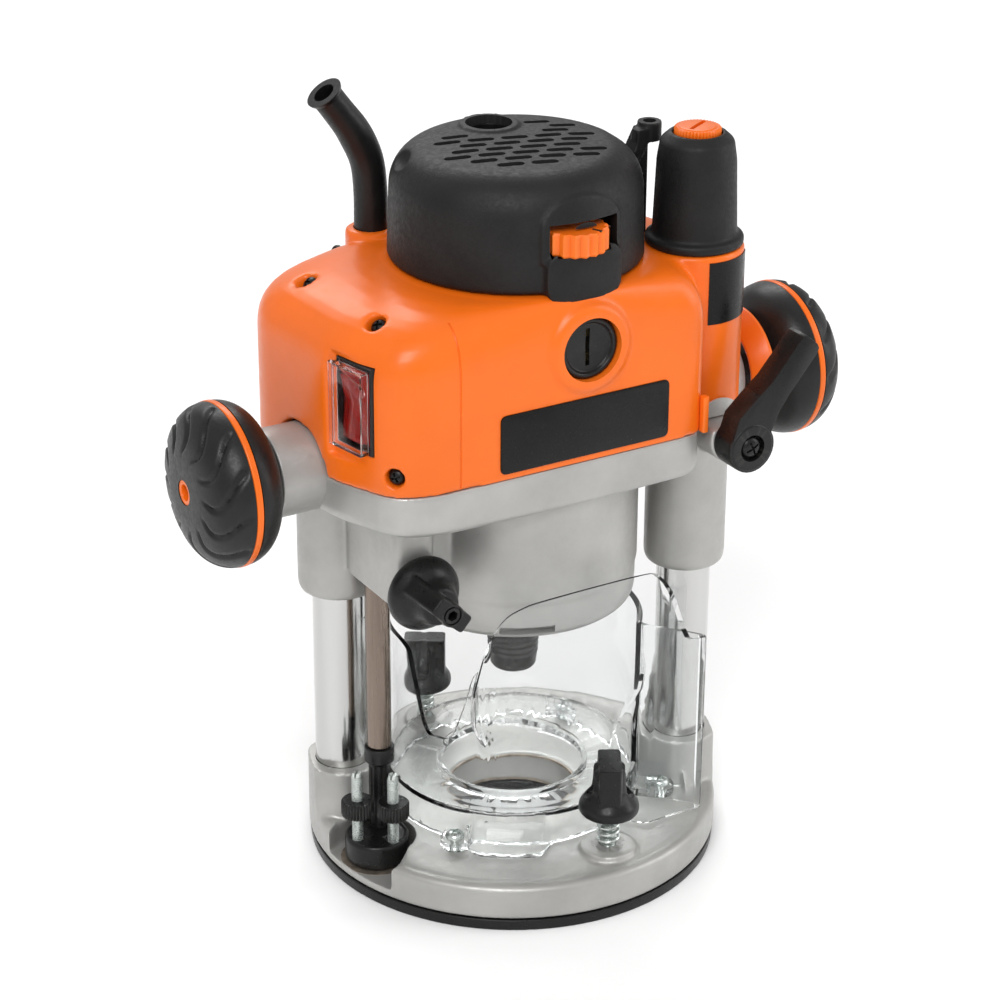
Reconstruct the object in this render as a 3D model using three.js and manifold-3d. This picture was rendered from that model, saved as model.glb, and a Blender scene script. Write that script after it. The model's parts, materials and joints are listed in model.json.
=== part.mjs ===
// Twin-column plunge router, built as an assembly of separate closed bodies.
// Units are millimetres, +Z is up. The origin is the centre of the underside of the round base,
// on the spindle axis. The handles lie along X and the front of the machine faces -Y.
import * as THREE from "three";
import { mergeVertices } from "three/addons/utils/BufferGeometryUtils.js";
import Module from "manifold-3d";

const wasm = await Module();
wasm.setup();

// ---- driving dimensions ----------------------------------------------------------------------

const GAP = 0.3; // clearance between pieces that touch

const BASE = { radius: 85, top: 20, underside: 5.1, cutterHole: 26.5 };
const SUB_BASE = { radius: 84.6, top: 4.8, cutterHole: 25.5 };
const COLUMN = { radius: 11, bore: 8.2, foot: 8, leftTop: 176, rightTop: 226, collar: 16.5, collarTop: 40 };
const RIGHT = { x: 67.3, y: -23.5 }; // right column axis; the left one is its point mirror
const LEFT = { x: -RIGHT.x, y: -RIGHT.y };

// The clear guard is a ring whose front bulges to a flat panel that passes in front of the head.
const GUARD = {
  ring: { outer: 52.6, inner: 50.4 },
  front: { outer: 58.6, inner: 56.6 },
  skirtTop: 33.5,
  floorHole: 29.3,
};
const GUARD_SCREWS = [
  [-46.6, -33.6],
  [48.5, -38.5],
  [46.6, 33.6],
  [-48.5, 38.5],
];
const CLAMP = { x: 6, y: -65.8, boss: 11, bossTop: 22 }; // side-fence clamp; the rear one is its mirror

const TURRET = { x: -69, y: -9, radius: 13.2, floor: 9, top: 20.5, stops: 8.4, postAngle: 52.8, postTop: 56 };
const ROD = {
  x: TURRET.x + TURRET.stops * Math.cos(THREE.MathUtils.degToRad(TURRET.postAngle)),
  y: TURRET.y + TURRET.stops * Math.sin(THREE.MathUtils.degToRad(TURRET.postAngle)),
  radius: 5,
  top: 150,
};

const SLEEVE = { radius: 16.5, bottom: 118, bushRadius: 13, bushTop: 137 };
const NOSE = { radius: 49.6, bottom: 111, cavity: 44, cavityFloor: 138 };
const FLANGE = { bottom: 169.5, top: 187.7 };
const HOUSING = { bottom: 188, shoulder: 238, top: 250, ring: 255.6, wall: 3.2, shoulderInset: 6 };
const CAP = { radius: 49.8, bottom: 256, top: 300, wall: 3 };
const HANDLE = { z: 185.7, equator: 127.7, radius: 32.3, halfWidth: 16.3, neck: 17.5, neckEnd: 110.8 };
const BRUSH = { z: 234, cap: 12.2, face: 55 };
const SPINDLE = { shaft: 6, fanZ: 143, coreBottom: 172, coreTop: 212, core: 24, stator: 38 };
const GEAR = { module: 1.5, teeth: 18, x: RIGHT.x, width: 9, addendum: 1, dedendum: 1.9 };
const PITCH_RADIUS = (GEAR.module * GEAR.teeth) / 2;
const TOOTH_PITCH = Math.PI * GEAR.module;
const SWITCH = { x: -85.3, y: -31, z: 220.5, turn: 11.2, width: 20, height: 35, depth: 17 };
const DIAL = { x: -1, y: -44, radius: 13, bottom: 270.5, top: 280 };
const LEVER = { x: 67.6, z: 183, back: -56.2, front: -68, length: 45, rise: 52 };
const LOCK_KNOB = { z: 141, back: -36.6, radius: 15, depth: 26 };
const BOOT = { x: -37, y: 49, radius: 7, boss: 10.2, bossTop: 257 };
const SPRING_CAP = { flange: 19.5, radius: 16.6, inner: 13.5, bottom: 255, top: 300 };

// Plan outline of the head, anticlockwise from the front-left, with its corners rounded later.
const HEAD_OUTLINE = [
  [-58, -55],
  [54, -55],
  [56, -40],
  [74, -44],
  [87.2, -30],
  [87.2, 10],
  [80, 32],
  [56, 53],
  [-62, 55],
  [-88, 47],
  [-97.5, 30],
  [-94, -20],
  [-82, -49],
  [-70, -54],
];

const COLOURS = {
  orange: { color: 0xf57d20, roughness: 0.35, metalness: 0 },
  black: { color: 0x262626, roughness: 0.55, metalness: 0 },
  rubber: { color: 0x1b1b1b, roughness: 0.7, metalness: 0 },
  casting: { color: 0xb9b9b4, roughness: 0.45, metalness: 0.7 },
  steel: { color: 0xc8c8c8, roughness: 0.2, metalness: 1 },
  zinc: { color: 0xb8c0bd, roughness: 0.35, metalness: 1 },
  copper: { color: 0xb06a3a, roughness: 0.4, metalness: 1 },
  carbon: { color: 0x2d2d30, roughness: 0.8, metalness: 0.1 },
  bronze: { color: 0xa9853f, roughness: 0.4, metalness: 0.9 },
  clear: { color: 0xeef4f6, roughness: 0.05, metalness: 0, transparent: true, opacity: 0.25 },
  red: { color: 0x7a1015, roughness: 0.2, metalness: 0 },
};

// ---- solids ----------------------------------------------------------------------------------

const radians = THREE.MathUtils.degToRad;

// Positions only, with shared corners merged and needle triangles at an axis dropped.
function toManifold(geometry) {
  const bare = geometry.clone();
  bare.deleteAttribute("normal");
  bare.deleteAttribute("uv");
  const merged = mergeVertices(bare, 1e-4);
  const index = [...merged.index.array];
  const kept = [];
  for (let i = 0; i < index.length; i += 3) {
    const [a, b, c] = index.slice(i, i + 3);
    if (a !== b && b !== c && c !== a) kept.push(a, b, c);
  }
  return new wasm.Manifold(
    new wasm.Mesh({
      numProp: 3,
      vertProperties: merged.attributes.position.array,
      triVerts: new Uint32Array(kept),
    }),
  );
}

function fromManifold(shape) {
  const mesh = shape.getMesh();
  return new THREE.BufferGeometry()
    .setAttribute("position", new THREE.BufferAttribute(new Float32Array(mesh.vertProperties), 3))
    .setIndex(new THREE.BufferAttribute(mesh.triVerts, 1));
}

function join(first, ...others) {
  return fromManifold(others.reduce((sum, other) => sum.add(toManifold(other)), toManifold(first)));
}

function cut(first, ...tools) {
  return fromManifold(tools.reduce((rest, tool) => rest.subtract(toManifold(tool)), toManifold(first)));
}

function keep(first, second) {
  return fromManifold(toManifold(first).intersect(toManifold(second)));
}

// A profile of [radius, height] points turned about Z. It is closed on itself unless it meets the axis.
function lathe(profile, segments = 32) {
  const points = profile.map(([r, z]) => new THREE.Vector2(r, z));
  if (profile[0][0] > 0) points.push(points[0].clone());
  if (THREE.ShapeUtils.area(points) < 0) points.reverse();
  return new THREE.LatheGeometry(points, segments).rotateX(Math.PI / 2);
}

function disc(radius, z0, z1, segments = 32) {
  return lathe([[0, z0], [radius, z0], [radius, z1], [0, z1]], segments);
}

function tube(outer, inner, z0, z1, segments = 32) {
  return lathe([[inner, z0], [outer, z0], [outer, z1], [inner, z1]], segments);
}

function block(x0, x1, y0, y1, z0, z1) {
  const box = new THREE.BoxGeometry(x1 - x0, y1 - y0, z1 - z0);
  return box.translate((x0 + x1) / 2, (y0 + y1) / 2, (z0 + z1) / 2);
}

// Turn a shape made along +Z so that it runs along +X or +Y.
const alongX = (geometry) => geometry.rotateY(Math.PI / 2);
const alongY = (geometry) => geometry.rotateX(-Math.PI / 2);

function prism(points, z0, z1) {
  const shape = new THREE.Shape(points.map(([x, y]) => new THREE.Vector2(x, y)));
  return new THREE.ExtrudeGeometry(shape, { depth: z1 - z0, bevelEnabled: false }).translate(0, 0, z0);
}

// Replace each corner of an outline by a short quadratic curve of about the given radius.
function rounded(points, radius, steps = 3) {
  const out = [];
  points.forEach((corner, i) => {
    const here = new THREE.Vector2(...corner);
    const before = new THREE.Vector2(...points[(i + points.length - 1) % points.length]);
    const after = new THREE.Vector2(...points[(i + 1) % points.length]);
    const reachIn = Math.min(radius, here.distanceTo(before) * 0.45);
    const reachOut = Math.min(radius, here.distanceTo(after) * 0.45);
    const start = here.clone().add(before.sub(here).setLength(reachIn));
    const end = here.clone().add(after.sub(here).setLength(reachOut));
    new THREE.QuadraticBezierCurve(start, here, end).getPoints(steps).forEach((p) => out.push([p.x, p.y]));
  });
  return out;
}

// Move each corner of an anticlockwise outline inwards along its bisector.
function inset(points, distance) {
  return points.map((corner, i) => {
    const here = new THREE.Vector2(...corner);
    const a = here.clone().sub(new THREE.Vector2(...points[(i + points.length - 1) % points.length]));
    const b = new THREE.Vector2(...points[(i + 1) % points.length]).sub(here);
    const normalA = new THREE.Vector2(-a.y, a.x).normalize();
    const normalB = new THREE.Vector2(-b.y, b.x).normalize();
    const bisector = normalA.clone().add(normalB).normalize();
    const moved = here.add(bisector.multiplyScalar(distance / Math.max(0.6, bisector.dot(normalA))));
    return [moved.x, moved.y];
  });
}

// A closed tube of a regular section along a curve.
function sweep(curve, radius, steps, sides) {
  const section = new THREE.Shape();
  for (let i = 0; i < sides; i += 1) {
    const angle = (i / sides) * 2 * Math.PI;
    const point = [radius * Math.cos(angle), radius * Math.sin(angle)];
    if (i) section.lineTo(...point);
    else section.moveTo(...point);
  }
  return new THREE.ExtrudeGeometry(section, { steps, extrudePath: curve, bevelEnabled: false });
}

class Helix extends THREE.Curve {
  constructor(radius, z0, z1, turns) {
    super();
    Object.assign(this, { radius, z0, z1, turns });
  }

  getPoint(t, target = new THREE.Vector3()) {
    const angle = t * this.turns * 2 * Math.PI;
    const z = this.z0 + (this.z1 - this.z0) * t;
    return target.set(this.radius * Math.cos(angle), this.radius * Math.sin(angle), z);
  }
}

// ---- the assembly ----------------------------------------------------------------------------

const router = new THREE.Group();

function add(name, geometry, colour, place = {}) {
  const material = new THREE.MeshStandardMaterial(COLOURS[colour]);
  const mesh = new THREE.Mesh(fromManifold(toManifold(geometry)), material);
  mesh.name = name;
  mesh.position.set(place.x ?? 0, place.y ?? 0, place.z ?? 0);
  mesh.rotation.z = radians(place.turn ?? 0);
  router.add(mesh);
}

const at = (geometry, spot) => geometry.translate(spot.x, spot.y, 0);
const mirrored = (spot) => ({ x: -spot.x, y: -spot.y });

// ---- base ------------------------------------------------------------------------------------

function subBase() {
  const { radius, top, cutterHole } = SUB_BASE;
  return lathe([[cutterHole, 0], [radius - 0.6, 0], [radius, 0.6], [radius, top], [cutterHole, top]], 40);
}

// Pocket that the turret turns in, open outwards through the rim.
function turretPocket() {
  const well = at(disc(TURRET.radius + 2.5, TURRET.floor, BASE.top + 9, 24), TURRET);
  const mouth = block(-30, 0, -TURRET.radius, TURRET.radius + 1, TURRET.floor, BASE.top + 9);
  return join(well, mouth.rotateZ(radians(20)).translate(TURRET.x, TURRET.y, 0));
}

function columnCollar(spot) {
  const { collar, collarTop } = COLUMN;
  const floor = BASE.underside + 1;
  const profile = [[0, floor], [collar + 1.5, floor], [collar, 30], [collar - 0.5, collarTop],
    [0, collarTop]];
  return at(lathe(profile, 24), spot);
}

function basePlate() {
  const { radius, top, underside, cutterHole } = BASE;
  const rim = [[cutterHole, underside], [radius, underside], [radius, top - 3.5], [radius - 1.2, top - 1],
    [radius - 4, top], [cutterHole, top]];
  const collars = join(columnCollar(RIGHT), columnCollar(LEFT));
  const clipped = keep(collars, disc(radius, 0, COLUMN.collarTop + 1, 48));
  const bosses = [CLAMP, mirrored(CLAMP)].map((spot) => at(disc(CLAMP.boss, 15, CLAMP.bossTop, 24), spot));
  const bores = [RIGHT, LEFT].map((spot) => at(disc(COLUMN.radius + GAP, COLUMN.foot - GAP, 60), spot));
  const clampHoles = [CLAMP, mirrored(CLAMP)].map((spot) => at(disc(3.4, 10, 30, 12), spot));
  const screwHoles = GUARD_SCREWS.map(([x, y]) => disc(2.2, 12, 30, 8).translate(x, y, 0));
  const cast = join(lathe(rim, 40), clipped, ...bosses);
  return cut(cast, ...bores, ...clampHoles, ...screwHoles, turretPocket());
}

function leftColumn() {
  const { radius, foot, leftTop } = COLUMN;
  return lathe([[0, foot], [radius, foot], [radius, leftTop - 1], [radius - 1, leftTop], [0, leftTop]], 24);
}

// The right column is a tube that holds the plunge spring, with rack notches cut in its inner side.
function rightColumn() {
  const { radius, bore, foot, rightTop } = COLUMN;
  const outside = [[0, foot], [radius, foot], [radius, rightTop - 1], [radius - 1, rightTop],
    [bore, rightTop], [bore, 30], [0, 30]];
  const notches = [];
  for (let k = -16; k <= 2; k += 1) notches.push(rackNotch(HANDLE.z + k * TOOTH_PITCH));
  return cut(lathe(outside, 24), ...notches);
}

// One trapezoid notch for a pinion tooth, in the column's own frame (column axis on Z).
function rackNotch(z) {
  const pitchY = -PITCH_RADIUS - RIGHT.y;
  const slope = Math.tan(radians(20));
  const half = TOOTH_PITCH / 4 + 0.18;
  const outer = pitchY + 3;
  const inner = pitchY - GEAR.addendum - 0.35;
  const profile = [
    [inner, -half + slope * (pitchY - inner)],
    [outer, -half - slope * (outer - pitchY)],
    [outer, half + slope * (outer - pitchY)],
    [inner, half - slope * (pitchY - inner)],
  ];
  const bar = prism(profile, -radiusOfChord(inner), radiusOfChord(inner));
  return bar.rotateX(Math.PI / 2).rotateZ(Math.PI / 2).translate(0, 0, z);
}

const radiusOfChord = (y) => Math.sqrt(COLUMN.radius ** 2 - y ** 2) + 2;

// ---- chip guard ------------------------------------------------------------------------------

const ease = (value, from, to) => THREE.MathUtils.smoothstep(value, from, to);

// Height of the guard's upper edge at bearings in degrees from straight ahead, + to the right:
// a low gate at the front left, a tall panel in front and an even ring behind.
const GUARD_EDGE = [
  [-180, 100],
  [-84, 100],
  [-72, 66],
  [-60, 66],
  [-50, 92],
  [-35, 100],
  [-30, 122],
  [-20, 133],
  [-12, 135],
  [26, 135],
  [35, 120],
  [40, 101],
  [45, 100],
  [180, 100],
];

function guardTop(phi) {
  const next = GUARD_EDGE.findIndex(([bearing]) => bearing > phi);
  const [[from, low], [to, high]] = GUARD_EDGE.slice(next - 1, next + 1);
  return THREE.MathUtils.lerp(low, high, (phi - from) / (to - from));
}

// Distance of the guard wall from the spindle axis: the ring, or further out where the front panel is.
function guardRadius(phi, z, ring, front) {
  const flat = Math.max(ring, front / Math.cos(radians(THREE.MathUtils.clamp(phi, -50, 50))));
  const bulge = Math.max(ease(z, 60, 90), ease(phi, 21, 27));
  return ring + (flat - ring) * bulge * ease(phi, -41, -35) * (1 - ease(phi, 44, 48));
}

// Closed wall between the inner and the outer face, from the base up to the upper edge.
function guardWall() {
  const { ring, front } = GUARD;
  const floor = BASE.top + GAP;
  const columns = [];
  for (let phi = -180; phi < 180; phi += Math.abs(phi) < 70 ? 5 : 10) columns.push(phi);
  const rows = [0, 0.35, 0.65, 1];
  const corners = [];
  columns.forEach((phi) => {
    const loop = [...rows.map((t) => [t, 0]), ...rows.map((t) => [1 - t, 1])];
    loop.forEach(([t, side]) => {
      const z = floor + (guardTop(phi) - floor) * t;
      const face = side ? "inner" : "outer";
      const r = guardRadius(phi, z, ring[face], front[face]);
      corners.push(r * Math.sin(radians(phi)), -r * Math.cos(radians(phi)), z);
    });
  });
  const size = rows.length * 2;
  const faces = [];
  columns.forEach((_, i) => {
    const next = (i + 1) % columns.length;
    for (let k = 0; k < size; k += 1) {
      const [a, b] = [i * size + k, i * size + ((k + 1) % size)];
      const [c, d] = [next * size + ((k + 1) % size), next * size + k];
      faces.push(a, d, c, a, c, b);
    }
  });
  return new THREE.BufferGeometry()
    .setAttribute("position", new THREE.Float32BufferAttribute(corners, 3))
    .setIndex(faces);
}

// Screw lug with a tongue that reaches back into the guard wall.
function guardLug([x, y], floor) {
  const tongue = block(GUARD.ring.inner + 1, Math.hypot(x, y), -4.5, 4.5, floor, floor + 3.5);
  return join(disc(5.2, floor, floor + 3.5, 16).translate(x, y, 0), tongue.rotateZ(Math.atan2(y, x)));
}

function chipGuard() {
  const { ring, skirtTop, floorHole } = GUARD;
  const floor = BASE.top + GAP;
  const shelf = lathe([[ring.inner + 1, skirtTop], [floorHole, skirtTop - 4.5], [floorHole, skirtTop - 6.7],
    [ring.inner + 1, skirtTop - 2.2]], 40);
  const holes = GUARD_SCREWS.map(([x, y]) => disc(2.3, floor - 1, floor + 5, 8).translate(x, y, 0));
  const lugs = GUARD_SCREWS.map((spot) => guardLug(spot, floor));
  return cut(join(guardWall(), shelf, ...lugs), ...holes);
}

function panScrew(shank, bottom, under, headRadius) {
  const top = under + 2.6;
  return lathe([[0, bottom], [shank, bottom], [shank, under], [headRadius, under], [headRadius, under + 1.2],
    [headRadius * 0.6, top], [0, top]], 12);
}

// ---- turret and depth rod ----------------------------------------------------------------------

function stopSpot(turn) {
  const angle = radians(TURRET.postAngle + turn);
  return { x: TURRET.stops * Math.cos(angle), y: TURRET.stops * Math.sin(angle) };
}

function turretDisc() {
  const { radius, floor, top, postTop } = TURRET;
  const low = floor + GAP;
  const wheel = lathe([[0, low], [radius, low], [radius, top - 1], [radius - 1, top], [0, top]], 24);
  const post = at(lathe([[0, low + 1], [4.4, low + 1], [4.4, postTop - 8], [5.6, postTop - 6], [5.6, postTop],
    [0, postTop]], 16), stopSpot(0));
  const holes = [120, -120].map((turn) => at(disc(2.8, 0, 30, 12), stopSpot(turn)));
  return cut(join(wheel, post), ...holes);
}

const stopScrew = () => lathe([[0, 16], [2.3, 16], [2.3, 49.4], [1.7, 50], [0, 50]], 12);
const stopNut = () => tube(6, 2.6, 30.5, 37.5, 20);

function depthRod() {
  const { radius, top } = ROD;
  const foot = TURRET.postTop + GAP;
  return lathe([[0, foot], [radius, foot], [radius, top - 1], [radius - 1, top], [0, top]], 20);
}

// ---- side-fence clamps -------------------------------------------------------------------------

// Lobed knob: a round skirt with a thick wing across its top.
function clampKnob() {
  const skirt = lathe([[0, 37], [12, 37], [12.4, 41], [8, 47], [7, 58], [0, 58]], 24);
  const wing = block(-11, 11, -4, 4, 42, 60);
  return cut(join(skirt, wing), disc(3.3, 30, 52, 12));
}

function clampScrew() {
  const spring = [];
  for (let z = 24.3; z < 33; z += 3.5) spring.push([4.6, z], [4.6, z + 1.7], [3, z + 1.7], [3, z + 3.5]);
  return lathe([[0, 11], [3, 11], [3, 24.3], ...spring, [3, 51], [0, 51]], 10);
}

// ---- head casting ------------------------------------------------------------------------------

function noseBody() {
  const { radius, bottom } = NOSE;
  return lathe([[0, bottom], [38, bottom], [43.5, bottom + 3], [47.6, bottom + 10], [radius, bottom + 24],
    [radius, FLANGE.top], [0, FLANGE.top]], 36);
}

function sleeve(spot) {
  const { radius, bottom } = SLEEVE;
  return at(lathe([[0, bottom], [radius - 1.5, bottom], [radius - 0.6, bottom + 2], [radius, 150],
    [radius, FLANGE.top], [0, FLANGE.top]], 24), spot);
}

function sleeveBore(spot) {
  const wide = SLEEVE.bushRadius + GAP;
  const low = SLEEVE.bottom - 2;
  const step = SLEEVE.bushTop + GAP;
  const clear = COLUMN.radius + 0.6;
  return at(lathe([[0, low], [wide, low], [wide, step], [clear, step], [clear, 200], [0, 200]], 24), spot);
}

function handleNecks() {
  const { neck, neckEnd, z } = HANDLE;
  const left = alongX(tube(neck, 8.3, -neckEnd, -84, 24)).translate(0, 0, z);
  const right = alongX(tube(neck, 8.3, 80, 99.5, 24)).translate(0, 0, z);
  return [left, right];
}

function spindleWell() {
  const { cavity, cavityFloor, bottom } = NOSE;
  return lathe([[0, bottom - 1], [13.4, bottom - 1], [13.4, 124], [17.8, 124], [17.8, cavityFloor],
    [cavity, cavityFloor], [cavity, 200], [0, 200]], 32);
}

function headCasting() {
  const flange = prism(headOutline(0.7), FLANGE.bottom, FLANGE.top);
  const rodBoss = block(ROD.x - 9, ROD.x + 8.5, LOCK_KNOB.back + 1, ROD.y + 8, 133, FLANGE.bottom + 1);
  const rodBore = at(disc(ROD.radius + 0.6, 100, 200, 20), ROD);
  const lockBore = alongY(disc(3.4, -60, ROD.y - ROD.radius, 12)).translate(ROD.x, 0, LOCK_KNOB.z);
  const leverBoss = alongY(disc(10, LEVER.back + 0.6, -36, 24)).translate(LEVER.x, 0, LEVER.z);
  const leverTrim = disc(60, FLANGE.top, 210, 12).translate(LEVER.x, -50, 0);
  const leverBore = alongY(disc(3.4, -70, RIGHT.y - 14, 12)).translate(LEVER.x, 0, LEVER.z);
  const pinionRoom = block(GEAR.x - 6, GEAR.x + 6, -15.5, 16, FLANGE.bottom + 0.8, 200);
  const solid = join(flange, noseBody(), sleeve(RIGHT), sleeve(LEFT), rodBoss, cut(leverBoss, leverTrim));
  const open = cut(solid, spindleWell(), sleeveBore(RIGHT), sleeveBore(LEFT), rodBore, lockBore, leverBore,
    pinionRoom, shaftBore(60, 120), shaftBore(-120, -80));
  return join(open, ...handleNecks());
}

const shaftBore = (x0, x1) => alongX(disc(8.3, x0, x1, 20)).translate(0, 0, HANDLE.z);

// ---- housing -----------------------------------------------------------------------------------

// The head's rounded plan outline, moved inwards by a distance.
const headOutline = (distance) => rounded(inset(HEAD_OUTLINE, distance), Math.max(3, 9 - distance));

function housingShell() {
  const { bottom, shoulder, top, ring, shoulderInset } = HOUSING;
  return join(
    prism(headOutline(0), bottom, shoulder),
    prism(headOutline(shoulderInset), shoulder - 1, top),
    disc(51.5, bottom, ring, 36),
    at(disc(19.9, bottom, SPRING_CAP.bottom - GAP, 24), RIGHT),
    at(disc(BOOT.boss, 230, BOOT.bossTop, 20), BOOT),
  );
}

function housingCavity() {
  const { bottom, shoulder, top, wall, shoulderInset } = HOUSING;
  return join(
    prism(headOutline(wall), bottom - 1, shoulder - wall),
    prism(headOutline(wall + shoulderInset), shoulder - wall - 1, top - wall),
    disc(47, bottom - 1, 270, 32),
    at(disc(13.8, bottom - 1, 270, 24), RIGHT),
  );
}

function mainHousing() {
  const neckHoles = [[-120, -70], [70, 120]].map(([x0, x1]) =>
    alongX(disc(HANDLE.neck + 0.5, x0, x1, 24)).translate(0, 0, HANDLE.z));
  const brushHoles = [[-70, -40], [40, 70]].map(([y0, y1]) =>
    alongY(disc(BRUSH.cap + 0.4, y0, y1, 20)).translate(0, 0, BRUSH.z));
  const switchRoom = block(-7, 30, -SWITCH.width / 2 - 1, SWITCH.width / 2 + 1, -19, 19)
    .rotateZ(radians(SWITCH.turn)).translate(SWITCH.x, SWITCH.y, SWITCH.z);
  const switchFlat = block(-30, -3, -60, 18, 200, 262)
    .rotateZ(radians(SWITCH.turn)).translate(SWITCH.x, SWITCH.y, 0);
  const bootHole = at(disc(BOOT.radius + GAP, 240, 270, 16), BOOT);
  const leverNotch = block(56, 95, -70, -43.8, 180, 200);
  return cut(housingShell(), housingCavity(), ...neckHoles, ...brushHoles, switchRoom, switchFlat, bootHole,
    leverNotch);
}

// ---- motor cap ---------------------------------------------------------------------------------

// Rows of short slots across the roof, staggered like brickwork.
function roofSlots() {
  const slots = [];
  for (let row = -3; row <= 3; row += 1) {
    for (let k = -1; k <= 1; k += 1) {
      const x = k * 15 + (row % 2 ? 4 : -3);
      slots.push(block(x - 5.5, x + 5.5, row * 8 - 1.4, row * 8 + 1.4, 290, 310));
    }
  }
  return slots.map((slot) => slot.rotateZ(radians(-17)));
}

function motorCap() {
  const { radius, bottom, top, wall } = CAP;
  const outside = lathe([[0, bottom], [radius, bottom], [radius, top - 15], [radius - 4, top - 5],
    [radius - 13, top], [0, top]], 36);
  const inside = lathe([[0, bottom - 1], [radius - wall, bottom - 1], [radius - wall, top - 16],
    [radius - wall - 4, top - 8], [radius - wall - 11, top - wall], [0, top - wall]], 32);
  const pod = block(-16, 17, -57, -30, bottom, top - 10);
  const podRoom = block(-14.5, 15, -54.5, -30, bottom - 1, DIAL.top + 1.5);
  const window = block(-13, 11.5, -60, -50, DIAL.bottom - 0.8, DIAL.top + 0.8);
  const seat = cut(disc(15, 274, top - 1, 24), disc(11.3, 270, 286.5, 24));
  const shell = cut(join(outside, pod), inside, podRoom, window);
  return cut(join(shell, seat), ...roofSlots());
}

function speedDial() {
  const { radius, bottom, top } = DIAL;
  const rim = [];
  for (let i = 0; i < 48; i += 1) {
    const r = i % 2 ? radius : radius - 0.9;
    const angle = (i / 48) * 2 * Math.PI;
    rim.push([r * Math.cos(angle), r * Math.sin(angle)]);
  }
  return prism(rim, bottom, top);
}

// ---- motor -------------------------------------------------------------------------------------

function armatureShaft() {
  const { shaft } = SPINDLE;
  return lathe([[0, 116], [7.6, 116], [7.6, 139], [shaft, 139.5], [shaft, 262], [4.2, 263], [4.2, 286],
    [0, 286]], 16);
}

function coolingFan() {
  const { fanZ, shaft } = SPINDLE;
  const plate = lathe([[shaft + GAP, fanZ], [38, fanZ], [38, fanZ + 1.6], [11, fanZ + 1.6], [11, fanZ + 12],
    [shaft + GAP, fanZ + 12]], 24);
  const blades = [];
  for (let i = 0; i < 7; i += 1) {
    blades.push(block(16, 37, -0.8, 0.8, fanZ + 1, fanZ + 12).rotateZ((i / 7) * 2 * Math.PI));
  }
  return join(plate, ...blades);
}

// A slotted drum, for the rotor core and the commutator.
function slottedDrum(outer, inner, z0, z1, count, slotWidth, slotDepth) {
  const slots = [];
  for (let i = 0; i < count; i += 1) {
    const slot = block(outer - slotDepth, outer + 2, -slotWidth / 2, slotWidth / 2, z0 - 1, z1 + 1);
    slots.push(slot.rotateZ((i / count) * 2 * Math.PI));
  }
  return cut(tube(outer, inner, z0, z1, 24), ...slots);
}

function colletNut() {
  const grip = lathe([[6.6, 77], [9.4, 76], [10.2, 84], [11, 96], [11.8, 104], [11.8, 113], [8, 113],
    [8, 96]], 20);
  const flats = [0, 60, 120].map((turn) => keep(tube(16, 8.9, 97, 103, 24),
    join(block(10.4, 20, -12, 12, 97, 103), block(-20, -10.4, -12, 12, 97, 103))).rotateZ(radians(turn)));
  return cut(grip, ...flats);
}

const collet = () => lathe([[3.2, 79], [6.2, 79], [7.5, 95], [7.5, 115.4], [3.2, 115.4]], 20);

function brushHolder() {
  return alongY(cut(disc(7.2, 19, 50.4, 16), block(-3.4, 3.4, -3.4, 3.4, 18, 51)));
}

const carbonBrush = () => block(-3.1, 3.1, 15.4, 38, -3.1, 3.1);

function brushCap() {
  const { cap, face } = BRUSH;
  const plug = lathe([[0, 51], [cap, 51], [cap, face - 1], [cap - 1, face], [cap - 3, face],
    [cap - 4, face - 1.2], [0, face - 1.2]], 20);
  return alongY(cut(plug, block(-1, 1, -7, 7, face - 3, face + 1)));
}

// ---- handles and winder ------------------------------------------------------------------------

// Flattened ball about +X with a groove round its equator for the band.
function handleKnob(bore) {
  const { equator, radius, halfWidth } = HANDLE;
  const outline = [];
  for (let i = 0; i <= 10; i += 1) {
    const angle = (i / 10) * Math.PI;
    const side = -Math.cos(angle);
    const across = equator + halfWidth * Math.sign(side) * Math.abs(side) ** 0.9;
    const reach = Math.max(bore, (radius - 0.2) * Math.sin(angle) ** 0.62);
    if (Math.abs(across - equator) > 2) outline.push([reach, across]);
  }
  const middle = outline.findIndex(([, across]) => across > equator);
  const groove = [-1.6, 1.6].map((side) => [radius - 2.3, equator + side]);
  outline.splice(middle, 0, [radius - 0.4, equator - 1.6], ...groove, [radius - 0.4, equator + 1.6]);
  return alongX(lathe(outline, 24)).translate(0, 0, HANDLE.z);
}

function handleBand() {
  const { equator, radius, z } = HANDLE;
  return alongX(tube(radius, radius - 2, equator - 1.3, equator + 1.3, 24)).translate(0, 0, z);
}

const handleBolt = () => alongX(disc(5.2, 88, 141, 16)).translate(0, 0, HANDLE.z);
const winderShaft = () => alongX(disc(5.2, 80, 141, 16)).translate(0, 0, HANDLE.z);

// Dished ring on the inner side of the winding handle.
function clutchRing() {
  return alongX(lathe([[18.3, 101], [20.5, 100], [26.5, 107.5], [25.5, 109.2], [18.3, 104]], 20))
    .translate(0, 0, HANDLE.z);
}

function pinion() {
  const { addendum, dedendum, teeth, width } = GEAR;
  const slope = Math.tan(radians(20));
  const half = TOOTH_PITCH / 4 - 0.2;
  const root = PITCH_RADIUS - dedendum;
  const tip = PITCH_RADIUS + addendum;
  const outline = [];
  for (let i = 0; i < teeth; i += 1) {
    const angle = -Math.PI / 2 + (i / teeth) * 2 * Math.PI;
    const along = new THREE.Vector2(Math.cos(angle), Math.sin(angle));
    const side = new THREE.Vector2(-along.y, along.x);
    const corners = [[root, -half - slope * dedendum], [tip, -half + slope * addendum],
      [tip, half - slope * addendum], [root, half + slope * dedendum]];
    corners.forEach(([r, s]) => outline.push([along.x * r + side.x * s, along.y * r + side.y * s]));
  }
  const wheel = prism(outline, -width / 2, width / 2);
  const stub = disc(5.2, 0, 12, 16);
  return alongX(join(wheel, stub)).translate(GEAR.x, 0, HANDLE.z);
}

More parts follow.
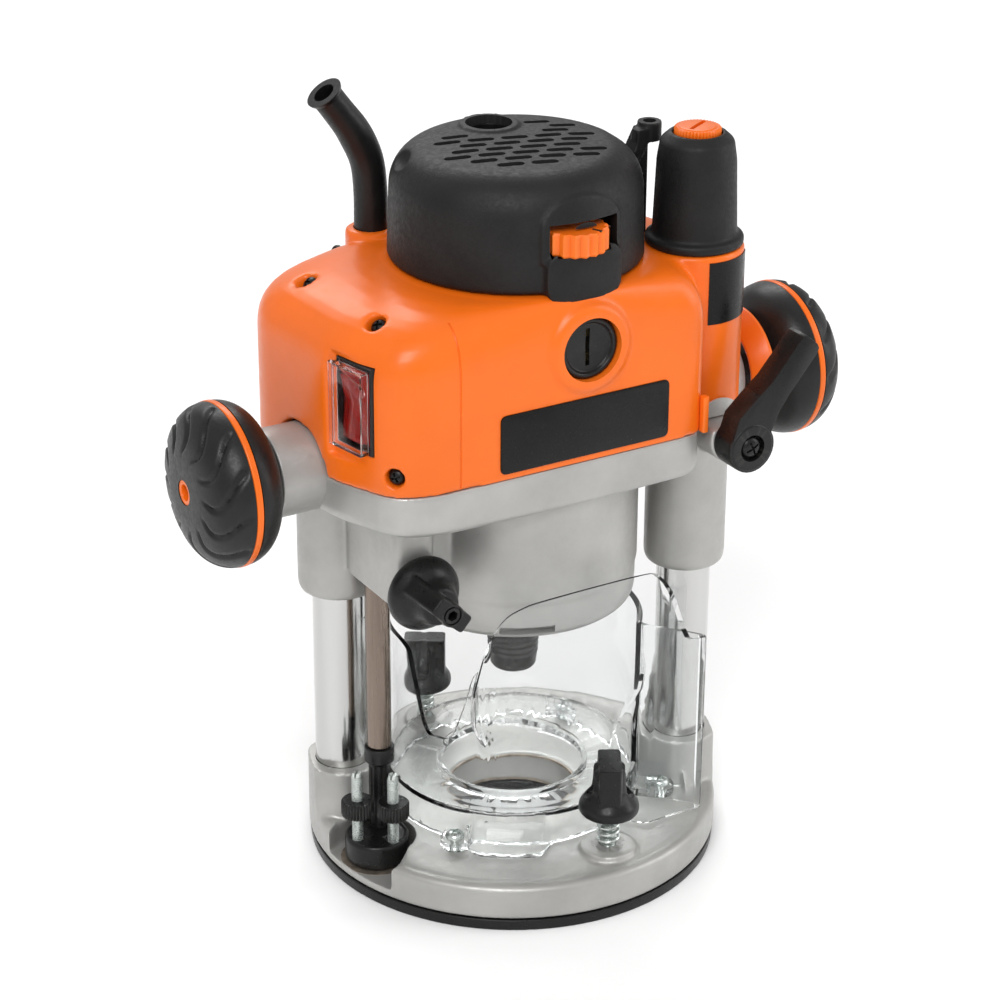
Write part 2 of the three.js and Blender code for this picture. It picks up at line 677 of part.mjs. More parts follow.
// ---- controls ----------------------------------------------------------------------------------

// Clamp lever: a round hub with an arm that widens into a grip.
function lockLever() {
  const { x, z, back, front, length, rise } = LEVER;
  const hub = alongY(lathe([[0, front], [9, front], [10.4, front + 2], [10.4, back], [0, back]], 24));
  const arm = [[-2, -8.6], [20, -6.2], [length - 3, -6], [length, -3], [length, 3], [length - 3, 6],
    [20, 6.2], [-2, 8.6]];
  const grip = prism(arm, 0, 8).rotateX(Math.PI / 2).translate(0, back - 1, 0).rotateY(radians(-rise));
  const socket = alongY(disc(5.4, front - 1, front + 2.6, 16));
  const bore = alongY(disc(3.3, -80, -40, 12));
  return cut(join(hub, grip), socket, bore).translate(x, 0, z);
}

function leverScrew() {
  const { x, z, front } = LEVER;
  const shank = lathe([[0, front + 0.4], [4.8, front + 0.4], [5, front + 2.3], [3, front + 2.3], [3, -38.6],
    [0, -38.6]], 12);
  return alongY(shank).translate(x, 0, z);
}

function depthLockKnob() {
  const { back, radius, depth, z } = LOCK_KNOB;
  const front = back - depth;
  const skirt = lathe([[0, back], [radius, back], [radius, back - 6], [9, back - 10], [7, back - 18],
    [0, back - 18]], 24);
  const wing = block(-radius, radius, -4, 4, front, back - 3);
  const screw = disc(3, back - 1, ROD.y - ROD.radius - 0.7, 12);
  return alongY(join(skirt, wing, screw)).translate(ROD.x, 0, z);
}

function rocker() {
  const { width, height } = SWITCH;
  const w = width / 2 - 3.4;
  const h = height / 2 - 5;
  const side = [[1.2, -h], [-1.6, -h], [-0.2, 0], [-3.4, h], [1.2, h]];
  return prism(side, -w, w).rotateX(Math.PI / 2);
}

function switchBody() {
  const { width, height, depth } = SWITCH;
  const frame = block(-3, depth, -width / 2, width / 2, -height / 2, height / 2);
  const well = block(-5, 5, -width / 2 + 3, width / 2 - 3, -height / 2 + 3, height / 2 - 3);
  return cut(frame, well);
}

// Clear flap over the rocker, hinged along its rear upright edge.
function switchCover() {
  const { width, height } = SWITCH;
  const w = width / 2;
  const h = height / 2;
  const plate = block(-7, -5.5, -w + 1, w - 1, -h + 1, h - 1);
  return join(plate, disc(1.2, -h + 1, h - 1, 10).translate(-6.2, w - 1, 0));
}

function springCap() {
  const { flange, radius, inner, bottom, top } = SPRING_CAP;
  return lathe([[inner, bottom], [flange, bottom], [flange, bottom + 2.6], [radius, bottom + 3.4],
    [radius - 0.8, top - 5], [radius - 3.6, top - 0.6], [10, top], [10, top - 2.6], [0, top - 2.6],
    [0, top - 4], [inner, top - 5]], 24);
}

const springCapButton = () => {
  const rim = [];
  for (let i = 0; i < 48; i += 1) {
    const r = i % 2 ? 9.2 : 8.5;
    rim.push([r * Math.cos((i / 24) * Math.PI), r * Math.sin((i / 24) * Math.PI)]);
  }
  const low = SPRING_CAP.top - 2.6 + GAP;
  return cut(prism(rim, low, low + 4.4), block(-6, 6, -1, 1, low + 3, low + 6));
};

// Small bracket with an eye between the motor cap and the spring cap.
function capBracket() {
  const arm = block(52, 57, -5.5, -0.5, HOUSING.top + GAP, 299);
  const eye = cut(disc(4.5, 291, 299, 16), disc(2, 290, 300, 12)).translate(60, -1.5, 0);
  return join(arm, eye);
}

function cableBoot() {
  const route = new THREE.CatmullRomCurve3([
    new THREE.Vector3(0, 0, 244),
    new THREE.Vector3(0, 0, 262),
    new THREE.Vector3(-0.5, 0, 282),
    new THREE.Vector3(-7, 0, 297),
    new THREE.Vector3(-20, 0, 314),
  ]);
  return join(sweep(route, BOOT.radius - 0.4, 12, 10), bootLip());
}

const bootLip = () => disc(8, -1.4, 1.6, 16).rotateY(radians(-38)).translate(-20, 0, 314);

function plungeSpring() {
  return sweep(new Helix(6.3, 32, 293.6, 13), 0.9, 13 * 7, 4);
}

// ---- placing every piece -------------------------------------------------------------------------

add("sub_base", subBase(), "black");
add("base_plate", basePlate(), "casting");
add("column_left", leftColumn(), "steel", LEFT);
add("column_right", rightColumn(), "steel", RIGHT);
add("chip_guard", chipGuard(), "clear");
GUARD_SCREWS.forEach(([x, y], i) => {
  add("guard_screw_" + (i + 1), panScrew(1.9, 13, BASE.top + GAP + 3.5 + GAP, 3.6), "zinc", { x, y });
});

add("turret", turretDisc(), "black", TURRET);
[120, -120].forEach((turn, i) => {
  const spot = stopSpot(turn);
  const place = { x: TURRET.x + spot.x, y: TURRET.y + spot.y };
  add("stop_screw_" + (i + 1), stopScrew(), "zinc", place);
  add("stop_nut_" + (i + 1), stopNut(), "black", place);
});
add("depth_rod", depthRod(), "steel", ROD);

[["front", CLAMP], ["rear", mirrored(CLAMP)]].forEach(([side, spot]) => {
  add("fence_knob_" + side, clampKnob(), "black", { ...spot, turn: 60 });
  add("fence_screw_" + side, clampScrew(), "zinc", spot);
});

add("head_casting", headCasting(), "casting");
add("main_housing", mainHousing(), "orange");
add("motor_cap", motorCap(), "black");
[["left", LEFT], ["right", RIGHT]].forEach(([side, spot]) => {
  const { bushRadius, bushTop, bottom } = SLEEVE;
  const bush = tube(bushRadius, COLUMN.radius + GAP, bottom + 0.5, bushTop, 24);
  add("sleeve_bush_" + side, bush, "bronze", spot);
});
add("plunge_spring", plungeSpring(), "steel", RIGHT);
add("spring_cap", springCap(), "black", RIGHT);
add("spring_cap_button", springCapButton(), "orange", RIGHT);
add("cap_bracket", capBracket(), "black");
add("cable_boot", cableBoot(), "rubber", BOOT);

add("lower_bearing", tube(17.5, 7.9, 124.3, 137, 20), "steel");
add("upper_bearing", tube(11, 4.5, 275, 285.5, 18), "steel");
add("stator", tube(SPINDLE.stator, 26, SPINDLE.coreBottom - 3, SPINDLE.coreTop + 3, 24), "copper");
[["front", 180], ["rear", 0]].forEach(([side, turn]) => {
  const place = { z: BRUSH.z, turn };
  add("brush_holder_" + side, brushHolder(), "bronze", place);
  add("carbon_brush_" + side, carbonBrush(), "carbon", place);
  add("brush_cap_" + side, brushCap(), "black", place);
});
add("speed_module", block(-13, 14, -46, -21, 257, 267.5), "black");

add("armature_shaft", armatureShaft(), "steel");
add("rotor_core", slottedDrum(SPINDLE.core, 6.3, SPINDLE.coreBottom, SPINDLE.coreTop, 12, 3, 8), "copper");
add("commutator", slottedDrum(15, 6.3, 226, 243, 12, 0.8, 2), "copper");
add("cooling_fan", coolingFan(), "black");
add("collet", collet(), "steel");
add("collet_nut", colletNut(), "zinc");

add("handle_knob_left", handleKnob(5.5).rotateZ(Math.PI), "black");
add("handle_band_left", handleBand().rotateZ(Math.PI), "orange");
add("handle_bolt_left", handleBolt().rotateZ(Math.PI), "steel");
add("handle_knob_right", handleKnob(5.5), "black");
add("handle_band_right", handleBand(), "orange");
add("winder_shaft", winderShaft(), "steel");
add("clutch_ring", clutchRing(), "orange");
add("winder_pinion", pinion(), "steel");

add("plunge_lock_lever", lockLever(), "black");
add("lever_screw", leverScrew(), "zinc");
add("depth_lock_knob", depthLockKnob(), "black");
add("speed_dial", speedDial(), "orange", DIAL);
add("switch_body", switchBody(), "black", SWITCH);
add("switch_rocker", rocker(), "red", SWITCH);
add("switch_cover", switchCover(), "clear", SWITCH);

export default router;
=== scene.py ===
import json
import math

import bmesh
import bpy
from mathutils import Matrix, Vector


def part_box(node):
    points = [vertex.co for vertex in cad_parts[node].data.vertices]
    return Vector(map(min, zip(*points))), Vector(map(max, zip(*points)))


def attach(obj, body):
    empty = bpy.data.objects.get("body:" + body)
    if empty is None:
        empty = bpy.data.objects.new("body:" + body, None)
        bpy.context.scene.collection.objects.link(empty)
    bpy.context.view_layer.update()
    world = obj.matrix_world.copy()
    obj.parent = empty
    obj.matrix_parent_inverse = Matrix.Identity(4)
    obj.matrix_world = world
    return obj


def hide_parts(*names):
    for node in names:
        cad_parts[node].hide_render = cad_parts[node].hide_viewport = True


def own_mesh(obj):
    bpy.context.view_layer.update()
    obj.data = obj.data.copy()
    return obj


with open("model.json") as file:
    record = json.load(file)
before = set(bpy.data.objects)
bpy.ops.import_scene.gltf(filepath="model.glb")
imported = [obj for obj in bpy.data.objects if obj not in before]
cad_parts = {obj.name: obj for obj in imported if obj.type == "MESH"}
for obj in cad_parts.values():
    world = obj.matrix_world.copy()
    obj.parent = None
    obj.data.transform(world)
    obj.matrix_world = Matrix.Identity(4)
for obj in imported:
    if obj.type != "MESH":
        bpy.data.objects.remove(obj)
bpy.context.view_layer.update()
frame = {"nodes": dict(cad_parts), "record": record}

SLOTS = {part["node"]: part["material_slot"] for part in frame["record"]["subparts"]}
MM = 0.001
TAU = 2 * math.pi


# ---- places that come from the frame ----

def box_of(node):
    low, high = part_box(node)
    return low / MM, high / MM


def middle(node):
    low, high = box_of(node)
    return (low + high) / 2


RIGHT = middle("column_right")
LEFT = middle("column_left")
TURRET = middle("turret")
ROD = middle("depth_rod")
BRUSH = middle("brush_cap_front")
DIAL = middle("speed_dial")
LEVER = middle("lever_screw")
LOCK = middle("depth_lock_knob")
HANDLE_Z = middle("handle_band_left").z
HANDLE_X = middle("handle_band_right").x
NOSE_BOTTOM = box_of("head_casting")[0].z
GUARD_FLOOR = box_of("chip_guard")[0].z
COLUMNS = (RIGHT, LEFT)
CLAMPS = [middle("fence_knob_front"), middle("fence_knob_rear")]

# Places and sizes that are set here.
HOUSING_BOTTOM, HOUSING_TOP = 188.0, 255.0
SWITCH = Vector((-85.3, -31.0, 220.5))
SWITCH_TURN = math.radians(11.2)
BOOT = Vector((-37.0, 49.0, 0.0))
SPINDLE = Vector((0.0, 0.0, 0.0))
BOOT_RADIUS, COLUMN_RADIUS, ROD_RADIUS, NECK_RADIUS, PILLAR_RADIUS = 6.9, 11.0, 5.0, 17.5, 19.8


# ---- mesh helpers ----

def added(name, data):
    """A new object in the scene."""
    obj = bpy.data.objects.new(name, data)
    bpy.context.scene.collection.objects.link(obj)
    return obj


def solid(name, points, faces):
    """A mesh object from points in millimetres, with its faces turned outwards."""
    mesh = bpy.data.meshes.new(name)
    mesh.from_pydata([Vector(p) * MM for p in points], [], faces)
    shape = bmesh.new()
    shape.from_mesh(mesh)
    bmesh.ops.remove_doubles(shape, verts=shape.verts, dist=1e-7)
    bmesh.ops.recalc_face_normals(shape, faces=shape.faces)
    shape.to_mesh(mesh)
    shape.free()
    return added(name, mesh)


def loft(rings, closed=False):
    """Skin over rings with equal numbers of points. Its ends are capped, or joined if it is closed."""
    n, count = len(rings[0]), len(rings)
    faces = []
    for i in range(count if closed else count - 1):
        a, b = i * n, (i + 1) % count * n
        faces += [(a + k, a + (k + 1) % n, b + (k + 1) % n, b + k) for k in range(n)]
    if not closed:
        faces += [tuple(range(n)), tuple(range((count - 1) * n, count * n))]
    return solid("part", [p for ring in rings for p in ring], faces)


AXES = {
    "Z": Matrix.Identity(4),
    "X": Matrix.Rotation(math.radians(90), 4, "Y"),
    "-X": Matrix.Rotation(math.radians(-90), 4, "Y"),
    "Y": Matrix.Rotation(math.radians(-90), 4, "X"),
}


def moved(obj, matrix):
    obj.data.transform(matrix)
    return obj


def shifted(obj, x=0.0, y=0.0, z=0.0):
    return moved(obj, Matrix.Translation(Vector((x, y, z)) * MM))


def turned(obj, degrees, axis="Z"):
    return moved(obj, Matrix.Rotation(math.radians(degrees), 4, axis))


def polar(radius, angle):
    return radius * math.cos(angle), radius * math.sin(angle)


def lathe(profile, sides=96, axis="Z", at=(0, 0)):
    """A profile of (radius, height) turned about an axis through a point."""
    angles = [k / sides * TAU for k in range(sides)]
    rings = [[(*polar(r, a), z) for a in angles] for r, z in profile]
    obj = loft(rings, closed=profile[0][0] > 0)
    return shifted(moved(obj, AXES[axis]), *at)


def rounded(points, radius, steps=4, closed=False):
    """A line or outline whose corners are replaced by short curves."""
    out = []
    for i, corner in enumerate(points):
        if not closed and i in (0, len(points) - 1):
            out.append(tuple(corner))
            continue
        here = Vector(corner)
        before = Vector(points[i - 1]) - here
        after = Vector(points[(i + 1) % len(points)]) - here
        start = here + before.normalized() * min(radius, before.length * 0.45)
        end = here + after.normalized() * min(radius, after.length * 0.45)
        for k in range(steps + 1):
            t = k / steps
            out.append(tuple(start * (1 - t) ** 2 + here * 2 * t * (1 - t) + end * t * t))
    return out


def rectangle(x0, x1, y0, y1, edge=0.0):
    corners = [(x0, y0), (x1, y0), (x1, y1), (x0, y1)]
    return rounded(corners, edge, closed=True) if edge else corners


def disc(radius, z0, z1, edge=0.0, **place):
    profile = rectangle(0, radius, z0, z1)
    return lathe(rounded(profile, edge) if edge else profile, **place)


def tube(outer, inner, z0, z1, edge=0.0, **place):
    return lathe(rectangle(inner, outer, z0, z1, edge), **place)


def smooth_line(points, steps):
    """A smooth curve through a few points."""
    path = [Vector(p) for p in points]
    ends = [path[0] * 2 - path[1]] + path + [path[-1] * 2 - path[-2]]
    out = []
    for i in range(1, len(ends) - 2):
        p0, p1, p2, p3 = ends[i - 1:i + 3]
        for k in range(steps):
            t = k / steps
            out.append(0.5 * (2 * p1 + (p2 - p0) * t + (2 * p0 - 5 * p1 + 4 * p2 - p3) * t * t
                              + (3 * p1 - p0 - 3 * p2 + p3) * t ** 3))
    return out + [path[-1]]


def prism(outline, z0, z1):
    return loft([[(x, y, z) for x, y in outline] for z in (z0, z1)])


def block(x0, x1, y0, y1, z0, z1):
    return prism(rectangle(x0, x1, y0, y1), z0, z1)


def ball(radius):
    angles = [k / 24 * math.pi for k in range(1, 24)]
    profile = [(radius * math.sin(a), -radius * math.cos(a)) for a in angles]
    return lathe([(0, -radius)] + profile + [(0, radius)], 48)


def slot_shape(length, width, z0, z1):
    """A bar with round ends along X."""
    half, r = length / 2 - width / 2, width / 2
    outline = []
    for x, start in ((half, -90), (-half, 90)):
        for k in range(9):
            dx, dy = polar(r, math.radians(start + k * 22.5))
            outline.append((x + dx, dy))
    return prism(outline, z0, z1)


def sweep(points, radii, sides):
    """A round tube through points, with a radius at each."""
    path = [Vector(p) for p in points]
    rings = []
    side = Vector((0, 1, 0))
    for i, here in enumerate(path):
        along = (path[min(i + 1, len(path) - 1)] - path[max(i - 1, 0)]).normalized()
        side = (side - along * side.dot(along)).normalized()
        other = along.cross(side)
        ring = []
        for k in range(sides):
            x, y = polar(radii[i], k / sides * TAU)
            ring.append(here + side * x + other * y)
        rings.append(ring)
    return loft(rings)


def bake(obj):
    """Apply an object's modifiers."""
    bpy.context.view_layer.update()
    graph = bpy.context.evaluated_depsgraph_get()
    old = obj.data
    mesh = bpy.data.meshes.new_from_object(obj.evaluated_get(graph))
    obj.modifiers.clear()
    obj.data = mesh
    bpy.data.meshes.remove(old)
    return obj


def combine(obj, operation, tools):
    for tool in tools:
        modifier = obj.modifiers.new("combine", "BOOLEAN")
        modifier.operation = operation
        modifier.solver = "MANIFOLD"
        modifier.object = tool
        bake(obj)
        bpy.data.objects.remove(tool)
    return obj


def join(obj, *tools):
    return combine(obj, "UNION", tools)


def cut(obj, *tools):
    return combine(obj, "DIFFERENCE", tools)


def keep(obj, *tools):
    return combine(obj, "INTERSECT", tools)


def melt(obj, voxel, rounds):
    """Round every edge of a cast or moulded shape, as its fillets do."""
    remesh = obj.modifiers.new("remesh", "REMESH")
    remesh.mode = "VOXEL"
    remesh.voxel_size = voxel * MM
    smooth = obj.modifiers.new("smooth", "SMOOTH")
    smooth.iterations = rounds
    return bake(obj)


def soften(obj, width, angle=32):
    """Ease the sharp edges of a shape."""
    bevel = obj.modifiers.new("bevel", "BEVEL")
    bevel.width = width * MM
    bevel.segments = 2
    bevel.limit_method = "ANGLE"
    bevel.angle_limit = math.radians(angle)
    return bake(obj)


def piece(name, obj, body, slot, material, *nodes, sharp=34):
    """Finish one visible piece: its name, surface, body and the nodes that it stands for."""
    obj.name = name
    obj.data.materials.clear()
    obj.data.materials.append(material)
    obj.data.shade_smooth()
    obj.data.set_sharp_from_angle(angle=math.radians(sharp))
    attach(obj, body)
    if nodes:
        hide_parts(*nodes)
    return obj


def fine(node, obj, body, material, sharp=34, name=None):
    """The fine shape of one node."""
    return piece(name or node + "_fine", obj, body, SLOTS[node], material, node, sharp=sharp)


# ---- materials ----

def link(tree, start, end):
    tree.links.new(start, end)


def noise(tree, vector, scale, detail=3.0):
    texture = tree.nodes.new("ShaderNodeTexNoise")
    texture.inputs["Scale"].default_value = scale
    texture.inputs["Detail"].default_value = detail
    link(tree, vector, texture.inputs["Vector"])
    return texture.outputs["Fac"]


def spread(tree, value, low, high, start=0.3, end=0.7):
    ranged = tree.nodes.new("ShaderNodeMapRange")
    for socket, number in (("From Min", start), ("From Max", end), ("To Min", low), ("To Max", high)):
        ranged.inputs[socket].default_value = number
    link(tree, value, ranged.inputs["Value"])
    return ranged.outputs["Result"]


def ramp(tree, value, colours):
    node = tree.nodes.new("ShaderNodeValToRGB")
    for element, (place, colour) in zip(node.color_ramp.elements, colours):
        element.position = place
        element.color = (*colour, 1)
    link(tree, value, node.inputs["Fac"])
    return node.outputs["Color"]


def mixed(tree, factor, first, second):
    node = tree.nodes.new("ShaderNodeMixRGB")
    link(tree, factor, node.inputs["Fac"])
    link(tree, first, node.inputs["Color1"])
    node.inputs["Color2"].default_value = (*second, 1)
    return node.outputs["Color"]


def surface(name, colour, rough, metallic=0.0, mottle=0.06, patch=40, grain=(1500, 0.02), stretch=(1, 1, 1),
            edge=None, **sockets):
    """A procedural surface: clouded colour and gloss, a fine grain, and wear on raised edges."""
    material = bpy.data.materials.new(name)
    material.use_nodes = True
    tree = material.node_tree
    shader = tree.nodes["Principled BSDF"]
    shader.inputs["Metallic"].default_value = metallic
    for socket, value in sockets.items():
        shader.inputs[socket.replace("_", " ")].default_value = value
    place = tree.nodes.new("ShaderNodeTexCoord")
    mapping = tree.nodes.new("ShaderNodeMapping")
    mapping.inputs["Scale"].default_value = stretch
    link(tree, place.outputs["Object"], mapping.inputs["Vector"])
    cloud = noise(tree, mapping.outputs["Vector"], patch)
    fine = noise(tree, mapping.outputs["Vector"], grain[0], 2.0)
    dark = tuple(c * (1 - mottle) for c in colour)
    light = tuple(min(1.0, c * (1 + mottle)) for c in colour)
    tint = ramp(tree, cloud, [(0.35, dark), (0.65, light)])
    if edge:
        geometry = tree.nodes.new("ShaderNodeNewGeometry")
        worn = spread(tree, geometry.outputs["Pointiness"], 0.0, edge[1], 0.52, 0.6)
        tint = mixed(tree, worn, tint, edge[0])
    link(tree, tint, shader.inputs["Base Color"])
    link(tree, spread(tree, noise(tree, mapping.outputs["Vector"], patch * 9), *rough),
         shader.inputs["Roughness"])
    bump = tree.nodes.new("ShaderNodeBump")
    bump.inputs["Distance"].default_value = grain[1] * MM
    link(tree, fine, bump.inputs["Height"])
    link(tree, bump.outputs["Normal"], shader.inputs["Normal"])
    return material


def let_lamps_through(material, share):
    """Clear plastic that lamps shine through, so that it casts only a faint shadow."""
    tree = material.node_tree
    output = next(n for n in tree.nodes if n.type == "OUTPUT_MATERIAL")
    rays = tree.nodes.new("ShaderNodeLightPath")
    clear = tree.nodes.new("ShaderNodeBsdfTransparent")
    clear.inputs["Color"].default_value = (*share, 1)
    mix = tree.nodes.new("ShaderNodeMixShader")
    link(tree, rays.outputs["Is Shadow Ray"], mix.inputs[0])
    link(tree, tree.nodes["Principled BSDF"].outputs["BSDF"], mix.inputs[1])
    link(tree, clear.outputs["BSDF"], mix.inputs[2])
    link(tree, mix.outputs["Shader"], output.inputs["Surface"])
    return material


ORANGE = surface("orange", (0.80, 0.140, 0.006), (0.28, 0.38), mottle=0.05, patch=25, grain=(900, 0.008),
                 edge=((0.86, 0.22, 0.03), 0.4), Specular_IOR_Level=0.3, Coat_Weight=0.12,
                 Coat_Roughness=0.2)
BLACK = surface("black_textured", (0.009, 0.009, 0.009), (0.44, 0.6), mottle=0.2, patch=60,
                grain=(1900, 0.09), edge=((0.035, 0.035, 0.035), 0.5), Specular_IOR_Level=0.26)
GLOSS_BLACK = surface("black_smooth", (0.006, 0.006, 0.006), (0.25, 0.4), mottle=0.2, patch=70,
                      grain=(700, 0.02), edge=((0.03, 0.028, 0.026), 0.5), Specular_IOR_Level=0.3)
RUBBER = surface("rubber", (0.006, 0.006, 0.006), (0.3, 0.5), mottle=0.25, patch=90, grain=(600, 0.04),
                 Specular_IOR_Level=0.32)
GRIP = surface("grip", (0.008, 0.008, 0.008), (0.3, 0.46), mottle=0.2, patch=80, grain=(1300, 0.03),
               edge=((0.03, 0.03, 0.03), 0.4), Specular_IOR_Level=0.32)
CASTING = surface("casting", (0.40, 0.395, 0.38), (0.34, 0.5), metallic=0.5, mottle=0.07, patch=45,
                  grain=(1400, 0.05), edge=((0.7, 0.7, 0.68), 0.5))
STEEL = surface("steel", (0.56, 0.56, 0.55), (0.10, 0.24), metallic=1.0, mottle=0.05, patch=90,
                grain=(2600, 0.004), stretch=(1, 1, 0.03))
ROD_STEEL = surface("rod_steel", (0.22, 0.175, 0.145), (0.16, 0.34), metallic=1.0, mottle=0.22, patch=160,
                    grain=(2600, 0.006), stretch=(1, 1, 0.05))
ZINC = surface("zinc", (0.62, 0.66, 0.64), (0.2, 0.38), metallic=1.0, mottle=0.1, patch=260,
               grain=(2500, 0.01), edge=((0.85, 0.88, 0.86), 0.5))
FLOOR_STEEL = surface("floor_steel", (0.33, 0.28, 0.23), (0.35, 0.6), metallic=0.8, mottle=0.3, patch=220,
                      grain=(2200, 0.02))
COPPER = surface("copper", (0.62, 0.27, 0.13), (0.3, 0.5), metallic=1.0, mottle=0.15, patch=200,
                 grain=(1200, 0.05), stretch=(1, 1, 6))
BRONZE = surface("bronze", (0.42, 0.29, 0.12), (0.3, 0.5), metallic=0.9, mottle=0.15, patch=200,
                 grain=(1600, 0.03))
CARBON = surface("carbon", (0.035, 0.035, 0.038), (0.6, 0.8), mottle=0.2, patch=300, grain=(2200, 0.04))
PLATE = surface("plate", (0.005, 0.005, 0.005), (0.24, 0.36), mottle=0.2, patch=50, grain=(800, 0.004),
                Specular_IOR_Level=0.2)
CLEAR = let_lamps_through(
    surface("clear", (0.97, 0.98, 0.98), (0.02, 0.06), mottle=0.01, patch=30, grain=(120, 0.01),
            Transmission_Weight=1.0, IOR=1.26), (0.93, 0.94, 0.94))
SMOKY_CLEAR = let_lamps_through(
    surface("clear_flap", (0.93, 0.86, 0.86), (0.03, 0.09), mottle=0.02, patch=60, grain=(200, 0.01),
            Transmission_Weight=1.0, IOR=1.3), (0.85, 0.8, 0.8))
RED = surface("red", (0.34, 0.012, 0.008), (0.10, 0.2), mottle=0.15, patch=120, grain=(500, 0.006),
              Coat_Weight=0.5, Transmission_Weight=0.25)
COLLET_BLACK = surface("blackened_steel", (0.055, 0.053, 0.052), (0.3, 0.5), metallic=0.8, mottle=0.3,
                       patch=200, edge=((0.25, 0.25, 0.25), 0.5))


# ---- base ----

BASE_TOP, BASE_UNDERSIDE, BASE_RADIUS = 20.0, 5.1, 84.9
CUTTER_HOLE = 26.5
POCKET_FLOOR = 9.0
ROUND_SIDES = 160


def make_sub_base():
    low, high, hole = 0.02, BASE_UNDERSIDE - 0.3, 25.5
    profile = rounded([(hole, low), (84.3, low), (84.6, high), (hole, high)], 0.7, closed=True)
    fine("sub_base", lathe(profile, ROUND_SIDES), "base", GLOSS_BLACK)


def turret_pocket():
    """The well round the turret, with its angular mouth through the rim."""
    x, y = TURRET.xy
    top = 50
    mouth = [(x + 3, y + 16.5), (x - 10, y + 15), (x - 24, y + 9), (x - 24, y - 22), (x - 5, y - 26),
             (x + 6, y - 15)]
    well = disc(15.6, POCKET_FLOOR, top, sides=64, at=TURRET.xy)
    return join(well, prism(mouth, POCKET_FLOOR, top))


def column_collar(spot):
    """A collar round a column, with a web that flares into the rim on each side."""
    profile = [(0, 6), (19, 6), (17.2, 24), (16.6, 30), (16.4, 39.6), (0, 39.6)]
    collar = lathe(profile, 64, at=spot.xy)
    away = spot.xy.normalized()
    side = Vector((-away.y, away.x))
    here = spot.xy - away * 2
    foot, top, inner, depth = 33, 16, 12, 14
    wedge = [here + side * foot, here - side * foot, here - side * inner + away * depth,
             here + side * inner + away * depth]
    low = [(*p, 8) for p in wedge]
    high = [(*(here + (p - here) * (top / foot)), 30) for p in wedge]
    return join(collar, loft([low, high]))


def make_base():
    deck, pad_top = BASE_TOP - 0.9, BASE_TOP + 2
    rim = rounded([(CUTTER_HOLE, BASE_UNDERSIDE), (BASE_RADIUS, BASE_UNDERSIDE),
                   (BASE_RADIUS, BASE_TOP - 1.4), (BASE_RADIUS - 3.4, BASE_TOP + 0.2), (77.5, deck),
                   (CUTTER_HOLE, deck)], 2.2, closed=True)
    body = lathe(rim, ROUND_SIDES)
    for spot in COLUMNS:
        join(body, column_collar(spot))
    for spot in CLAMPS:
        join(body, disc(11.4, 12, pad_top, at=spot.xy))
    keep(body, disc(BASE_RADIUS, 0, 60, sides=ROUND_SIDES))
    cut(body, turret_pocket())
    melt(body, 0.9, 5)
    bores = [disc(COLUMN_RADIUS + 0.25, 7.7, 60, at=spot.xy) for spot in COLUMNS]
    holes = [disc(3.4, 10, 30, sides=32, at=spot.xy) for spot in CLAMPS]
    cut(body, *bores, *holes)
    fine("base_plate", body, "base", CASTING, 40, "base_casting")
    for i, spot in enumerate(CLAMPS, 1):
        washer = tube(7.2, 3.5, pad_top - 0.7, pad_top, 0.2, at=spot.xy)
        piece(f"clamp_washer_{i}", washer, "base", "zinc_steel", ZINC)
    piece("bore_ring", tube(27.9, 26.7, 5.25, 18.6), "base", "polished_steel", FLOOR_STEEL)
    floor = disc(15.0, POCKET_FLOOR - 0.4, POCKET_FLOOR + 0.15, at=TURRET.xy)
    keep(floor, disc(BASE_RADIUS - 0.8, 0, 40, sides=ROUND_SIDES))
    piece("pocket_floor", floor, "base", "polished_steel", FLOOR_STEEL)


def make_columns():
    low, high = box_of("column_left")
    fine("column_left", disc(COLUMN_RADIUS, low.z, high.z, 1.0, at=LEFT.xy), "base", STEEL)
    low, high = box_of("column_right")
    floor, bore = 30, 8.2
    wall = rounded([(bore, floor), (bore, high.z), (COLUMN_RADIUS, high.z), (COLUMN_RADIUS, low.z),
                    (0, low.z), (0, floor)], 0.8)
    column = lathe([(0, floor)] + wall[:-1] + [(0, low.z)], at=RIGHT.xy)
    rack_pitch = math.pi * 1.5
    for k in range(-16, 3):
        z = HANDLE_Z + k * rack_pitch
        cut(column, block(RIGHT.x - 10, RIGHT.x + 10, -14.7, -10, z - 1.3, z + 1.3))
    fine("column_right", column, "base", STEEL)


# ---- chip guard ----

# Height of the guard's top edge at bearings from straight ahead, + to the right.
GUARD_EDGE = [(-180, 99.5), (-120, 99.5), (-88, 99.3), (-81, 88), (-73, 66.5), (-66, 64.5), (-59, 66.5),
              (-53, 80), (-48, 96), (-43, 99.2), (-41.2, 108), (-38.5, 122), (-34, 130.5), (-28, 133.6),
              (-18, 134.6), (22, 134.6), (29, 132), (34, 122), (38, 105), (42, 99.5), (60, 99.5), (180, 99.5)]
GUARD_LINE = smooth_line([(bearing, z, 0) for bearing, z in GUARD_EDGE], 6)
GUARD_WALL = 2.2
GUARD_RING, GUARD_FRONT = 50.5, 56.7


def ease(value, start, end):
    """A smooth rise from 0 at start to 1 at end."""
    t = min(1.0, max(0.0, (value - start) / (end - start)))
    return t * t * (3 - 2 * t)


def guard_top(bearing):
    for a, b in zip(GUARD_LINE, GUARD_LINE[1:]):
        if bearing <= b.x:
            return min(134.8, a.y + (b.y - a.y) * (bearing - a.x) / (b.x - a.x))
    return GUARD_LINE[-1].y


